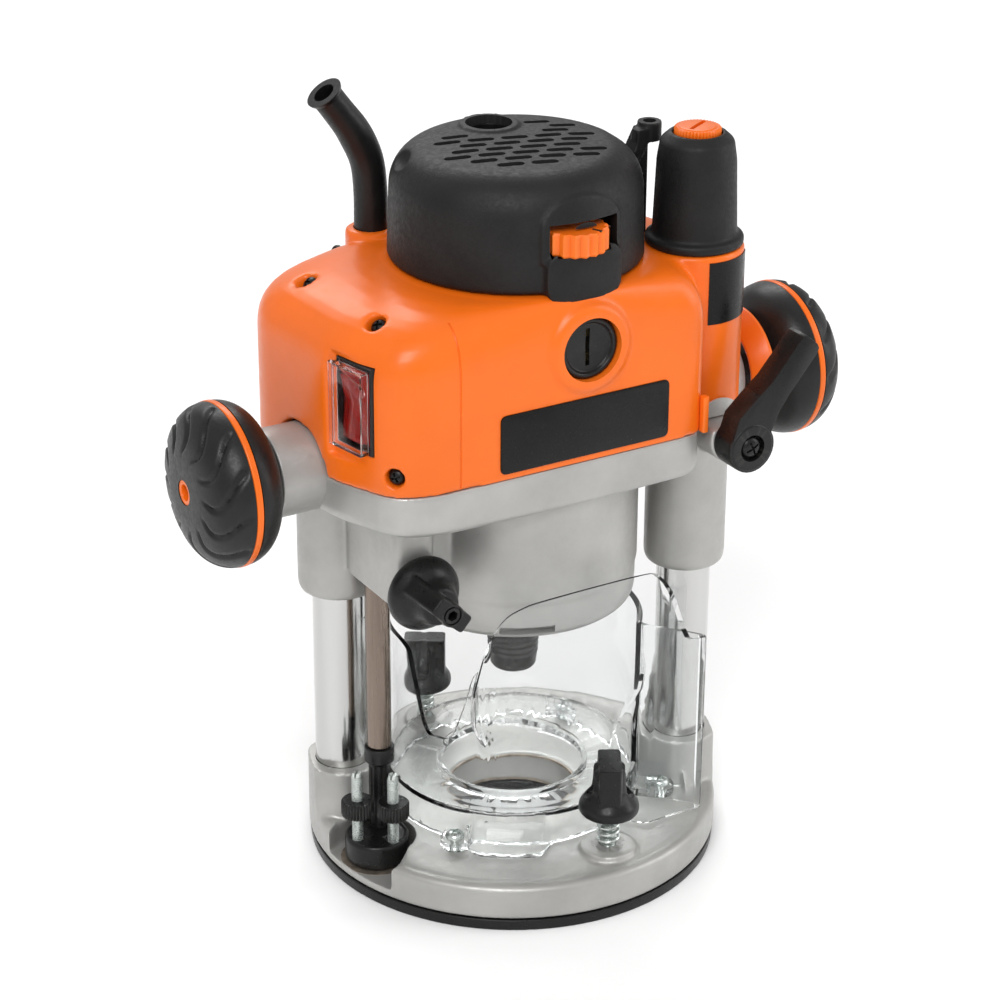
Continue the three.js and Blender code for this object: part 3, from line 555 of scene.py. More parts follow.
def guard_radius(bearing, z, thick):
    """Distance of a wall face from the spindle. Bearings are from straight ahead, + to the right."""
    ring = GUARD_RING + thick
    straight = math.cos(math.radians(max(-50, min(50, bearing))))
    flat = max(ring, (GUARD_FRONT + thick * 0.86) / straight)
    rise = max(ease(z, 60, 90), ease(bearing, 21, 27))
    bulge = rise * ease(bearing, -46.5, -42.2) * (1 - ease(bearing, 44, 49))
    return ring + (flat - ring) * bulge


def guard_wall():
    levels = [0, 0.06, 0.13, 0.2, 0.27, 0.34, 0.41, 0.48, 0.55, 0.62, 0.7, 0.78, 0.86, 0.93, 1]
    rings = []
    for k in range(240):
        bearing = -180 + 1.5 * k
        top, angle = guard_top(bearing), math.radians(bearing)
        section = [(t, GUARD_WALL) for t in levels] + [(t, 0.0) for t in reversed(levels)]
        ring = []
        for t, thick in section:
            z = GUARD_FLOOR + (top - GUARD_FLOOR) * t
            r = guard_radius(bearing, z, thick)
            ring.append((r * math.sin(angle), -r * math.cos(angle), z - (0.5 if t == 1 and not thick else 0)))
        rings.append(ring)
    return loft(rings, closed=True)


def guard_skirt():
    """The foot of the guard, which swells outwards at the front left."""
    rings = []
    for k in range(180):
        bearing = -180 + 2 * k
        swell = 9.6 * ease(bearing, -56, -42) * (1 - ease(bearing, -22, -11))
        section = [(53.4 + swell, GUARD_FLOOR), (53.4 + swell, 23.2), (53.1 + swell * 0.86, 27.5),
                   (52.7 + swell * 0.45, 31.6), (52.4, 34.4), (50.9, 34.4), (50.9, 31.6),
                   (50.9 + swell * 0.35, 29.2), (51.0 + swell * 0.72, 25.6),
                   (51.1 + swell * 0.86, GUARD_FLOOR)]
        angle = math.radians(bearing)
        rings.append([(r * math.sin(angle), -r * math.cos(angle), z) for r, z in section])
    return loft(rings, closed=True)


def make_guard():
    guard = guard_wall()
    hole, shelf_low = 29.4, 28.4
    shelf = lathe(rounded([(GUARD_RING + 1, 34.2), (46, 34.0), (hole, 30.6), (hole, shelf_low), (46, 31.6),
                           (GUARD_RING + 1, 31.6)], 2.0, closed=True), 128)
    lip = tube(hole + 2, hole, shelf_low, 33.0, 0.8, sides=128)
    join(guard, shelf, lip, guard_skirt())
    screws = [f"guard_screw_{i}" for i in range(1, 5)]
    root, half, lug_top = GUARD_RING + 0.6, 6.0, GUARD_FLOOR + 3.5
    for spot in map(middle, screws):
        out = math.hypot(*spot.xy)
        lug = join(disc(half, GUARD_FLOOR, lug_top, sides=32, at=(out, 0)),
                   block(root, out, -half, half, GUARD_FLOOR, lug_top),
                   block(root, out + 2, 5.0, 6.6, GUARD_FLOOR, GUARD_FLOOR + 10))
        join(guard, turned(lug, math.degrees(math.atan2(spot.y, spot.x))))
    for spot in CLAMPS:
        cut(guard, disc(12.6, 0, 64, sides=64, at=spot.xy))
    fine("chip_guard", soften(guard, 0.35, 40), "base", CLEAR, 50)
    for node in screws:
        screw = cross_screw(middle(node), box_of(node)[0].z, lug_top + 0.3, 1.9, 3.9)
        fine(node, screw, "base", ZINC)


def cross_screw(spot, low, under, shank, head):
    """A pan-head screw with a cross recess, pointing up."""
    top = under + head * 0.72
    dome = [(head, under + 0.5), (head * 0.92, under + head * 0.4), (head * 0.6, top - 0.3), (0, top)]
    stem = [(0, low), (shank, low), (shank, under), (head, under)]
    screw = lathe(stem + rounded(dome, 1.2), 48, at=spot.xy)
    for quarter in (0, 90):
        arm = turned(block(-head * 0.62, head * 0.62, -0.45, 0.45, top - 1.4, top + 1), quarter)
        cut(screw, shifted(turned(arm, 25), *spot.xy))
    return screw


# ---- depth turret, stops and rod ----

def thread(radius, z0, z1, pitch=0.8, depth=0.35):
    """Profile of a threaded length, as rings."""
    out = []
    z = z0
    while z + pitch <= z1:
        out += [(radius, z + 0.1), (radius, z + 0.3), (radius - depth, z + 0.55), (radius - depth, z + 0.65)]
        z += pitch
    return out


def knurled(radius, z0, z1, teeth, depth, hole=0.0, edge=0.6):
    """A disc with a knurled rim."""
    count = teeth * 4
    rings = []
    for r_in, z in ((edge, z0), (0, z0 + edge), (0, z1 - edge), (edge, z1)):
        ring = []
        for k in range(count):
            r = radius - r_in - depth * (0.5 - 0.5 * math.cos(k / 4 * TAU))
            ring.append((*polar(r, k / count * TAU), z))
        rings.append(ring)
    body = loft(rings)
    return cut(body, disc(hole, z0 - 1, z1 + 1, sides=40)) if hole else body


def make_turret():
    wheel = lathe(rounded([(0, 9.4), (12.6, 9.4), (13.15, 12), (13.15, 19.2), (12.2, 20.4), (11.0, 19.5),
                           (0, 19.5)], 0.8), at=TURRET.xy)
    post = lathe(rounded([(0, 11), (4.5, 11), (4.5, 48.5), (6.1, 49.6), (6.1, 56), (0, 56)], 0.5), 64,
                 at=ROD.xy)
    flutes = []
    for k in range(6):
        dx, dy = polar(4.9, k / 6 * TAU + 0.3)
        flutes.append(disc(1.1, 20.5, 47.5, sides=20, at=(ROD.x + dx, ROD.y + dy)))
    cut(post, *flutes)
    turret = join(wheel, post)
    stops = [middle(f"stop_screw_{i}") for i in (1, 2)]
    cut(turret, *[disc(2.75, 5, 30, sides=32, at=spot.xy) for spot in stops])
    fine("turret", soften(turret, 0.3), "turret", GLOSS_BLACK)
    for i, spot in enumerate(stops, 1):
        low, high = box_of(f"stop_screw_{i}")
        turns = thread(2.3, low.z + 0.5, high.z - 0.8)
        screw = lathe([(0, low.z), (1.9, low.z), *turns, (1.7, high.z), (0, high.z)], 32, at=spot.xy)
        cut(screw, shifted(turned(block(-3, 3, -0.4, 0.4, high.z - 1.6, high.z + 1), 40), *spot.xy))
        fine(f"stop_screw_{i}", screw, f"stop_{i}", ZINC, 50)
        low, high = box_of(f"stop_nut_{i}")
        nut = shifted(knurled(6.6, low.z, high.z, 30, 0.45, hole=2.6), *spot.xy)
        fine(f"stop_nut_{i}", nut, f"stop_{i}", GLOSS_BLACK, 40)
    low, high = box_of("depth_rod")
    rod = disc(ROD_RADIUS, low.z, high.z, 0.6, sides=64, at=ROD.xy)
    fine("depth_rod", rod, "depth_rod", ROD_STEEL)


# ---- side-fence clamps ----

def make_clamps():
    for side, spot in zip(("front", "rear"), CLAMPS):
        skirt = lathe(rounded([(0, 37), (11.2, 37), (12.2, 38.2), (12.2, 41), (9.6, 44.6), (7.6, 47),
                               (7.0, 57.5), (0, 57.5)], 1.2), 64)
        knob = join(skirt, prism(rectangle(-9.6, 9.6, -4.6, 4.6, 1.6), 40, 60))
        for y in (-7.0, 7.0):
            cut(knob, disc(3.0, 44, 70, sides=40, at=(0, y)))
        keep(knob, lathe([(0, 36), (12.3, 36), (12.3, 43), (10.4, 60), (0, 60)], 64))
        melt(knob, 0.45, 3)
        cut(knob, disc(3.3, 30, 52, sides=32))
        shifted(turned(knob, 60 if side == "front" else -32), *spot.xy)
        body = f"fence_clamp_{side}"
        fine(f"fence_knob_{side}", knob, body, GLOSS_BLACK)
        screw = lathe([(0, 11), (2.7, 11), *thread(3.0, 11.5, 51, 1.0, 0.45), (2.6, 51), (0, 51)], 32,
                      at=spot.xy)
        fine(f"fence_screw_{side}", screw, body, ZINC, 50)
        coil = helix(4.1, 22.9, 36.6, 4.5, 0.75, 20)
        piece(f"fence_spring_{side}", shifted(coil, *spot.xy), body, "zinc_steel", ZINC)


def helix(radius, z0, z1, turns, wire, steps):
    """A coil of round wire, with so many steps to a turn."""
    count = int(turns * steps)
    path = []
    for i in range(count + 1):
        t = i / count
        path.append((*polar(radius, t * turns * TAU), z0 + (z1 - z0) * t))
    return sweep(path, [wire] * (count + 1), 10)


# ---- head casting ----

HEAD_OUTLINE = [(-58, -55), (54, -55), (56, -40), (74, -44), (87.2, -30), (87.2, 10), (80, 32), (56, 53),
                (-62, 55), (-88, 47), (-97.5, 30), (-94, -20), (-82, -49), (-70, -54)]


def reach(outline, angle):
    """How far an outline round the spindle lies in a direction."""
    dx, dy = math.cos(angle), math.sin(angle)
    best = 0.0
    for (ax, ay), (bx, by) in zip(outline, outline[1:] + outline[:1]):
        ex, ey = bx - ax, by - ay
        cross = dx * ey - dy * ex
        if abs(cross) > 1e-9:
            along = (ax * ey - ay * ex) / cross
            share = (ax * dy - ay * dx) / cross
            if along > 0 and -1e-6 <= share <= 1 + 1e-6:
                best = max(best, along)
    return best


NECK_BORE = 8.6
SOFT_OUTLINE = rounded(HEAD_OUTLINE, 9, steps=6, closed=True)
HEAD_ANGLES = [k / 240 * TAU for k in range(240)]
HEAD_REACH = [reach(SOFT_OUTLINE, a) for a in HEAD_ANGLES]


def head_ring(z, core, blend, inset=0.0):
    """A level of the head: its full outline at blend 1, a circle of radius core at blend 0."""
    radii = [core + (max(r - inset, core) - core) * blend for r in HEAD_REACH]
    return [(*polar(r, a), z) for a, r in zip(HEAD_ANGLES, radii)]


def neck(axis, start, end):
    """The round neck that a handle sits on."""
    return tube(NECK_RADIUS, NECK_BORE, start, end, 0.8, axis=axis, at=(0, 0, HANDLE_Z))


def make_casting():
    top = 187
    levels = [(169.6, 0.86), (170.4, 0.93), (172.0, 0.98), (174.5, 1.0), (top + 0.7, 1.0)]
    casting = loft([head_ring(z, 49.0, blend, 0.8) for z, blend in levels])
    nose = lathe(rounded([(0, NOSE_BOTTOM), (45.4, NOSE_BOTTOM), (48.4, 113.4), (49.2, 119), (49.2, 126.4),
                          (49.9, 127.4), (49.9, 168.8), (53.5, 177), (53.5, top), (0, top)], 1.2),
                 ROUND_SIDES)
    join(casting, nose)
    for spot in COLUMNS:
        sleeve = [(0, 118), (15.4, 118), (16.5, 121), (16.5, 164), (19, 172), (19, top), (0, top)]
        join(casting, lathe(rounded(sleeve, 2.0), at=spot.xy))
    rod_boss = prism(rectangle(ROD.x - 9, ROD.x + 8.5, LOCK.y, ROD.y + 10, 4), 133, 172)
    keep(rod_boss, block(-90, -40, -35.6, 20, 120, 180))
    web = loft([[(-58, y0, z), (-41, y0, z), (-41, y1, z), (-58, y1, z)]
                for y0, y1, z in ((-25, -17, 136), (-25.6, -16.8, 169), (-36, -8, 180))])
    join(casting, rod_boss, web)
    lever_boss = disc(10.6, -55.4, -36, axis="Y", at=(LEVER.x, 0, LEVER.z))
    join(casting, keep(lever_boss, block(40, 95, -80, 0, 150, top + 0.6)))
    well = [(0, 100), (13.4, 100), (13.4, 124), (17.8, 124), (17.8, 139), (43, 139), (43, 200), (0, 200)]
    cut(casting, lathe(well))
    melt(casting, 0.9, 5)
    join(casting, neck("-X", 76, 110.8), neck("X", 70, 99.5))
    bore = [(0, 100), (11.35, 100), (11.35, 119), (13.3, 119), (13.3, 137.3), (11.6, 137.3), (11.6, 210),
            (0, 210)]
    bores = [lathe(bore, 64, at=spot.xy) for spot in COLUMNS]
    bores.append(disc(ROD_RADIUS + 0.6, 100, 200, sides=48, at=ROD.xy))
    bores.append(block(RIGHT.x - 6, RIGHT.x + 6, -15.5, 16, 170.3, 200))
    bores.append(disc(NECK_BORE, -76.5, -66, sides=40, axis="X", at=(0, 0, HANDLE_Z)))
    bores.append(turned(block(-13, 9, -60, -43.5, 113.6, 117.0), -22))
    cut(casting, *bores)
    fine("head_casting", casting, "head", CASTING, 42)


# ---- motor housing ----

def switch_frame(obj):
    """Put something made about the switch's own centre in its place, with -X facing outwards."""
    matrix = Matrix.Translation(SWITCH * MM) @ Matrix.Rotation(SWITCH_TURN, 4, "Z")
    return moved(obj, matrix)


def shoulder_levels():
    """Levels of the housing, upright to its shoulder and rounded over above it."""
    shoulder, power = 231.0, 2.6
    levels = [(z, 1.0) for z in (HOUSING_BOTTOM, 200, 215, shoulder)]
    for k in range(1, 11):
        t = math.sin(k / 10 * math.pi / 2)
        levels.append((shoulder + (HOUSING_TOP - shoulder) * t, max(0.0, 1 - t ** power) ** (1 / power)))
    return levels


# Screws of the housing: a point on the surface, and the direction that the screw points out to.
HOUSING_SCREWS = [
    ((-76.5, -27.5, 250.0), (-0.62, -0.25, 0.74)),
    ((-80.5, 22.0, 251.5), (-0.72, 0.10, 0.68)),
    ((-80.5, -48.0, 195.8), (-0.75, -0.65, 0.10)),
    ((-47.5, 52.0, 246.0), (-0.9, 0.0, 0.43)),
]


def aimed(obj, spot, direction):
    """Turn something made along +Z to point in a direction, at a spot."""
    turn = Vector(direction).to_track_quat("Z", "Y").to_matrix().to_4x4()
    return shifted(moved(obj, turn), *spot)


def screw_recess(spot, direction):
    """A tapered pit for the head of a housing screw."""
    return aimed(lathe([(0, -5), (3.6, -5), (3.9, 0), (5.4, 6), (0, 6)], 40), spot, direction)


def make_housing():
    body = loft([head_ring(z, 51.2, blend) for z, blend in shoulder_levels()])
    pillar = disc(PILLAR_RADIUS, 189, 254.8, at=RIGHT.xy)
    boss = lathe(rounded([(0, 235), (12.5, 235), (10.2, 248), (10.2, 257), (0, 257)], 1.6), 64, at=BOOT.xy)
    ear = aimed(disc(4.2, -3, 9, sides=40), (BOOT.x - 6, BOOT.y - 7, 250), (-0.95, -0.3, 0))
    seat = disc(51.4, 240, 255.3, sides=ROUND_SIDES)
    dish = lathe(rounded([(0, -57), (16.6, -57), (18.6, -54), (18.6, -48), (0, -48)], 1.4), axis="Y",
                 at=(0, 0, BRUSH.z))
    join(body, pillar, boss, ear, seat, dish)
    pocket = prism([(-2.6, -10.8), (-16, -15.5), (-40, -15.5), (-40, 30), (-16, 22), (-2.6, 11.5)],
                   -22.5, 19.5)
    trims = [switch_frame(pocket), block(54.5, 110, -80, -43.4, 180, 206),
             disc(13.6, -70, -44.5, axis="Y", at=(LEVER.x, 0, LEVER.z + 3))]
    trims += [disc(NECK_RADIUS + 0.8, 74, 130, axis=axis, at=(0, 0, HANDLE_Z)) for axis in ("-X", "X")]
    trims += [screw_recess(spot, direction) for spot, direction in HOUSING_SCREWS[:3]]
    cut(body, *trims)
    melt(body, 1.0, 6)
    inside = ((180, 1.0), (236, 1.0), (243, 0.86), (249, 0.4), (251.5, 0.0))
    openings = [loft([head_ring(z, 46.0, blend, 4.0) for z, blend in inside]),
                disc(46.8, 240, 262, sides=128)]
    openings += [disc(12.7, y, y + 30, axis="Y", at=(0, 0, BRUSH.z)) for y in (-70, 40)]
    openings += [disc(BOOT_RADIUS + 0.1, 238, 262, sides=64, at=BOOT.xy),
                 disc(13.8, 180, 262, sides=64, at=RIGHT.xy),
                 switch_frame(block(-8, 30, -10.3, 10.3, -17.8, 17.8))]
    openings += [disc(NECK_RADIUS + 0.4, 60, 130, axis=axis, at=(0, 0, HANDLE_Z)) for axis in ("-X", "X")]
    openings.append(block(-120, 120, -100, 100, 180, HOUSING_BOTTOM))
    cut(body, *openings)
    cut(body, parting_groove(body))
    fine("main_housing", body, "head", ORANGE, 42, "motor_housing")
    rib = shifted(prism(rectangle(52.2, 54.8, 0, 3.4, 0.8), 0, 15), 0, -56.0, HOUSING_BOTTOM + 0.2)
    piece("housing_rib", soften(rib, 0.3), "head", "orange_plastic", ORANGE)
    for i, (spot, direction) in enumerate(HOUSING_SCREWS, 1):
        height = -3.4 if i < 4 else 3.4
        head = cross_screw(SPINDLE, -2.0, 0.0, 1.6, 3.1)
        centre = Vector(spot) + Vector(direction).normalized() * height
        piece(f"housing_screw_{i}", aimed(head, centre, direction), "head", "black_plastic", GLOSS_BLACK)


def parting_groove(body):
    """A fine groove up the front of the housing, along the joint of its two mouldings."""
    path = []
    for k in range(32):
        z = HOUSING_BOTTOM - 1 + k * 2.1
        hit, spot, _, _ = body.ray_cast(Vector((-56, -120, z)) * MM, Vector((0, 1, 0)))
        if hit:
            path.append(spot / MM)
    return sweep(path, [0.42] * len(path), 8)


# ---- motor cap, dial and spring cap ----

CAP_RADIUS, CAP_BOTTOM, CAP_TOP = 49.8, 256.0, 299.9
CAP_HOLE = Vector((1.4, 23.0))


def cap_profile():
    """Section of the motor cap: an upright side, a rounded shoulder and a nearly flat roof."""
    shoulder = CAP_TOP - 17
    side = rounded([(0, CAP_BOTTOM), (CAP_RADIUS, CAP_BOTTOM), (CAP_RADIUS - 0.9, shoulder)], 0.8)
    arc = []
    for k in range(1, 11):
        x, z = polar(1, k / 10 * math.pi / 2)
        arc.append((CAP_RADIUS - 15.9 + 15 * x, shoulder + 16.2 * z))
    return side + arc + [(20, CAP_TOP - 0.1), (0, CAP_TOP)]


def roof_slots():
    """Rows of slots across the roof, each row a third of a step along, clear of the cord cup."""
    step, turn = 13.2, -17
    slots = []
    for row in range(-5, 6):
        for k in range(-3, 4):
            spot = Vector((k * step + 4.4 * (row % 3) - 4.4, row * 6.0))
            spot.rotate(Matrix.Rotation(math.radians(turn), 2))
            if spot.length < 29.5 and (spot - CAP_HOLE).length > 15.5:
                slots.append(shifted(turned(slot_shape(10.6, 3.6, 290, 303), turn), spot.x, spot.y - 1.5))
    return slots


def dial_pod():
    """The raised panel round the speed dial: an arch above the window and a block below it."""
    half, spring = 17.5, 281
    arch = [(-half, 268), (half, 268), (half, spring)]
    for k in range(1, 12):
        x, z = polar(1, k / 12 * math.pi)
        arch.append((half * x, spring + 11 * z))
    arch.append((-half, spring))
    pods = []
    for outline, grow in ((arch, 1.7), (rectangle(-16.2, 16.5, 252.5, 272.5, 6.5), 3.6)):
        plate = turned(prism(outline, 30, 60), 90, "X")
        around = lathe([(0, 250), (CAP_RADIUS + grow, 250), (CAP_RADIUS + grow - 0.8, 282),
                        (CAP_RADIUS - 4 + grow, 292), (0, 292)], ROUND_SIDES)
        pods.append(keep(plate, around))
    return pods


def make_cap():
    cap = lathe(cap_profile(), ROUND_SIDES)
    join(cap, *dial_pod(), disc(11.6, 292, CAP_TOP + 0.9, at=CAP_HOLE))
    for angle in (-4, 77, 158):
        scoop = moved(ball(1), Matrix.Diagonal((5.6, 9.5, 3.9, 1)))
        cut(cap, turned(shifted(turned(scoop, 45, "Y"), 45.6, 0, 295.6), angle))
    melt(cap, 0.8, 4)
    inside = lathe([(0, 250), (CAP_RADIUS - 3, 250), (CAP_RADIUS - 3.4, 284), (CAP_RADIUS - 9, 294),
                    (CAP_RADIUS - 16, CAP_TOP - 2.6), (0, CAP_TOP - 2.6)], 128)
    window = block(-12.6, 10.6, -62, -40, 270.6, 280.6)
    room = block(-14.5, 15, -50.5, -30, 262, 283)
    well = disc(9.2, CAP_TOP - 9, CAP_TOP + 3, at=CAP_HOLE)
    cut(cap, inside, window, room, well, disc(51.9, 240, CAP_BOTTOM, sides=128), *roof_slots())
    fine("motor_cap", cap, "head", BLACK, 42)
    cup = lathe(rounded([(0, 288), (10.4, 288), (10.4, CAP_TOP - 2.7), (9.3, CAP_TOP - 2.7), (9.3, 289.5),
                         (0, 289.5)], 0.3), 64, at=CAP_HOLE)
    piece("cap_cup", cup, "head", "black_plastic", GLOSS_BLACK)


def make_dial():
    dial = shifted(knurled(13.0, 270.7, 279.8, 18, 1.3, edge=0.8), *DIAL.xy)
    fine("speed_dial", dial, "speed_dial", ORANGE, 40)
    mark = shifted(turned(block(-0.5, 0.5, -12, -8, 279.5, 280.0), 25), *DIAL.xy)
    piece("dial_mark", mark, "speed_dial", "black_plastic", GLOSS_BLACK)


def make_spring_cap():
    bore, foot = 13.6, 255
    profile = rounded([(bore, foot), (19.4, foot), (19.4, 258.2), (16.9, 259.4), (16.6, 262), (15.6, 289),
                       (14.4, 296.5), (11.0, 299.6), (9.6, 299.6), (9.6, 296.6), (0, 296.6)], 1.2)
    cap = lathe(profile + [(0, 295.2), (bore, 294)], at=RIGHT.xy)
    fine("spring_cap", cap, "head", BLACK)
    low, high = box_of("spring_cap_button")
    button = knurled(9.2, low.z, high.z - 0.5, 40, 0.7, edge=0.5)
    dome = lathe(rounded([(0, high.z - 1.2), (8.0, high.z - 1.2), (7.4, high.z - 0.1), (0, high.z)], 0.8), 64)
    join(button, dome)
    cut(button, block(-6, 6, -0.9, 0.9, high.z - 1.6, high.z + 1))
    shifted(turned(button, 30), *RIGHT.xy)
    fine("spring_cap_button", button, "cap_button", ORANGE, 40, "spring_button_fine")


def make_bracket():
    low, high = box_of("cap_bracket")
    arm = loft([
        [(46, -6, 283), (51, -7, 283), (51, 1, 283), (46, 2, 283)],
        [(50, -6, 289), (55, -6, 289), (55, 1, 289), (50, 2, 289)],
        [(54, -5, 297), (60, -5, 297), (60, 1.5, 297), (54, 1.5, 297)],
    ])
    foot = prism(rectangle(51.5, 57, -5.5, -0.5, 1), low.z, 297)
    eye = (59.6, -1.5)
    bracket = melt(join(arm, foot, disc(4.8, 291.5, high.z, at=eye)), 0.5, 3)
    cut(bracket, disc(2.6, 293, 303, sides=40, at=eye), disc(16.4, 240, 310, sides=64, at=RIGHT.xy),
        disc(PILLAR_RADIUS, 240, 259, sides=64, at=RIGHT.xy))
    fine("cap_bracket", bracket, "head", BLACK)


def make_boot():
    x, y = BOOT.xy
    path = smooth_line([(x, y, 240), (x, y, 256), (x, y, 272), (x - 1.6, y, 285), (x - 7, y, 297),
                        (x - 14, y, 307), (x - 19.5, y, 314.4)], 8)
    count = len(path)
    radii = [6.7 + 0.3 * math.exp(-((i / count - 0.62) / 0.1) ** 2) - 0.5 * ease(i / count, 0.4, 0.9)
             for i in range(count)]
    radii[-3:] = [6.2, 7.2, 7.6]
    boot = sweep(path, radii, 48)
    bore_path = path[count // 2:] + [path[-1] * 2 - path[-3]]
    cut(boot, sweep(bore_path, [4.4] * len(bore_path), 40))
    fine("cable_boot", boot, "head", RUBBER)


# ---- brush caps, plates and controls ----

def make_brush_caps():
    profile = rounded([(0, 51), (12.1, 51), (12.2, 54.6), (10.6, 55.0), (9.6, 53.2), (0, 52.8)], 0.7)
    for side, turn in (("front", 180), ("rear", 360)):
        cap = cut(lathe(profile, 80, axis="Y"), block(-0.9, 0.9, 50, 60, -7.5, 7.5))
        fine(f"brush_cap_{side}", shifted(turned(cap, turn), 0, 0, BRUSH.z), "head", GLOSS_BLACK)


def make_plates():
    plate = turned(prism(rectangle(-39, 36, 190.6, 214.4, 2.6), 54.7, 55.6), 90, "X")
    piece("name_plate", soften(plate, 0.2), "head", "black_plastic", PLATE)
    rings = []
    for k in range(25):
        angle = math.radians(-106 + 70 * k / 24)
        rings.append([(*polar(r, angle), z) for r, z in rectangle(19.6, 20.15, 227, 252.4)])
    piece("side_label", shifted(loft(rings), *RIGHT.xy), "head", "black_plastic", PLATE)


def make_switch():
    shell = cut(block(-3, 16, -10, 10, -17.4, 17.4), block(-5, 4.5, -8.7, 8.7, -16.0, 16.0))
    fine("switch_body", switch_frame(soften(shell, 0.5)), "head", GLOSS_BLACK)
    side = [(1.4, -14.8), (-1.4, -14.8), (-0.2, 0), (-3.0, 14.8), (1.4, 14.8)]
    rocker = loft([[(x, y, z) for x, z in side] for y in (-8.2, 8.2)])
    fine("switch_rocker", switch_frame(soften(rocker, 0.6)), "rocker", RED)
    plate = cut(block(-7.6, -3.6, -9.2, 8.8, -16.4, 16.4), block(-6.2, 0, -8.2, 7.8, -15.4, 15.4))
    hinge = disc(1.2, -16.4, 16.4, sides=32, at=(-6.2, 9))
    tab = disc(2.6, -7.4, -6.0, sides=40, axis="X", at=(0, -7.6, 9))
    flap = join(plate, hinge, tab)
    fine("switch_cover", switch_frame(soften(flap, 0.35)), "cover", SMOKY_CLEAR)


def lever_outline():
    """Outline of the lock lever, hub at the origin, as seen from the front."""
    hub = [polar(10.3, math.radians(a)) for a in range(150, 391, 12)]
    right = [(12.4, 13.0), (17.0, 19.5), (23.0, 26.5), (28.8, 33.4)]
    tip = [(30.0, 36.0), (29.2, 37.8), (24.0, 42.4), (22.4, 42.2), (20.8, 40.6)]
    left = [(15.0, 33.6), (8.4, 26.0), (0.6, 19.6), (-6.4, 13.4)]
    return hub + right + tip + left


def make_lever():
    lever = turned(prism(lever_outline(), 57.3, 67.6), 90, "X")
    hub = lathe(rounded([(0, -68), (9.4, -68), (10.4, -66.6), (10.4, -56.2), (0, -56.2)], 0.6), 80, axis="Y")
    join(lever, hub)
    grooves = []
    for k in range(13):
        t = k / 12
        grooves.append(disc(0.8, -70, -50, sides=16, axis="Y", at=(2.6 + 17.0 * t, 0, 22.2 + 18.6 * t)))
    cut(lever, *grooves)
    soften(lever, 0.6, 50)
    cut(lever, disc(5.5, -70, -65.2, sides=64, axis="Y"), disc(3.3, -80, -40, sides=40, axis="Y"))
    shifted(lever, LEVER.x, 0, LEVER.z)
    fine("plunge_lock_lever", lever, "lock_lever", GLOSS_BLACK, name="lock_lever_fine")
    screw = turned(cross_screw(SPINDLE, 38.6, 65.0, 2.9, 4.7), 90, "X")
    fine("lever_screw", shifted(screw, LEVER.x, 0, LEVER.z), "lock_lever", GLOSS_BLACK)
    washer = disc(11.6, -44.6, -43.9, axis="Y", at=(LEVER.x, 0, LEVER.z + 1))
    cut(washer, block(40, 95, -60, -30, 150, HOUSING_BOTTOM + 0.3))
    piece("lever_washer", washer, "head", "cast_alloy", CASTING)


def make_depth_lock():
    back = box_of("depth_rod")[0].y
    face = lathe(rounded([(0, -36.7), (13.8, -36.7), (15.0, -38.2), (15.0, -41.4), (12.6, -45.4),
                          (9.4, -48.2), (7.4, -54.6), (0, -54.6)], 1.6), axis="Y")
    wing = loft([[(x, y, z) for x, z in rectangle(-w, w, -h, h, 1.5)] for y, w, h in
                 ((-38.0, 14.4, 4.2), (-42.0, 13.6, 4.2), (-52, 10.6, 4.0), (-62.4, 8.6, 3.8))])
    knob = melt(join(face, wing), 0.5, 4)
    join(knob, disc(4.6, -62.4, -50, sides=64, axis="Y"))
    cut(knob, disc(2.2, -64, -58, sides=6, axis="Y"), tube(3.9, 3.2, -64, -61.6, axis="Y"))
    join(knob, disc(3.0, -40, back - 0.7, sides=32, axis="Y"))
    shifted(turned(knob, 42, "Y"), ROD.x, 0, LOCK.z)
    fine("depth_lock_knob", knob, "depth_lock", GLOSS_BLACK, name="depth_lock_fine")


# ---- handles and winder ----

KNOB_RADIUS, KNOB_HALF = 32.1, 16.3


def knob_profile():
    """Section of a handle knob about its own middle: (radius, offset along its axis)."""
    out = []
    for k in range(1, 64):
        a = k / 64 * math.pi
        side = -math.cos(a)
        out.append((KNOB_RADIUS * math.sin(a) ** 0.62, KNOB_HALF * math.copysign(abs(side) ** 0.9, side)))
    return out


def make_knob(axis):
    """A black knob with curved grooves in its outer face, about its own middle."""
    bore, sides = 5.4, 216
    section = knob_profile()
    rings = []
    for r, z in [(bore, section[0][1])] + section + [(bore, section[-1][1])]:
        ring = []
        for k in range(sides):
            a = k / sides * TAU
            swirl = a + 0.5 * math.sin((r - 10) / 22 * math.pi)
            wave = max(0.0, math.cos(12 * swirl)) ** 6
            deep = 1.3 * wave * ease(r, 14, 19) * ease(z, 1.8, 4.5)
            ring.append((*polar(r - deep * 0.75, a), z - deep * 0.65))
        rings.append(ring)
    knob = loft(rings, closed=True)
    cut(knob, tube(40, KNOB_RADIUS - 2.4, -1.6, 1.6, sides=128))
    return moved(knob, AXES[axis])


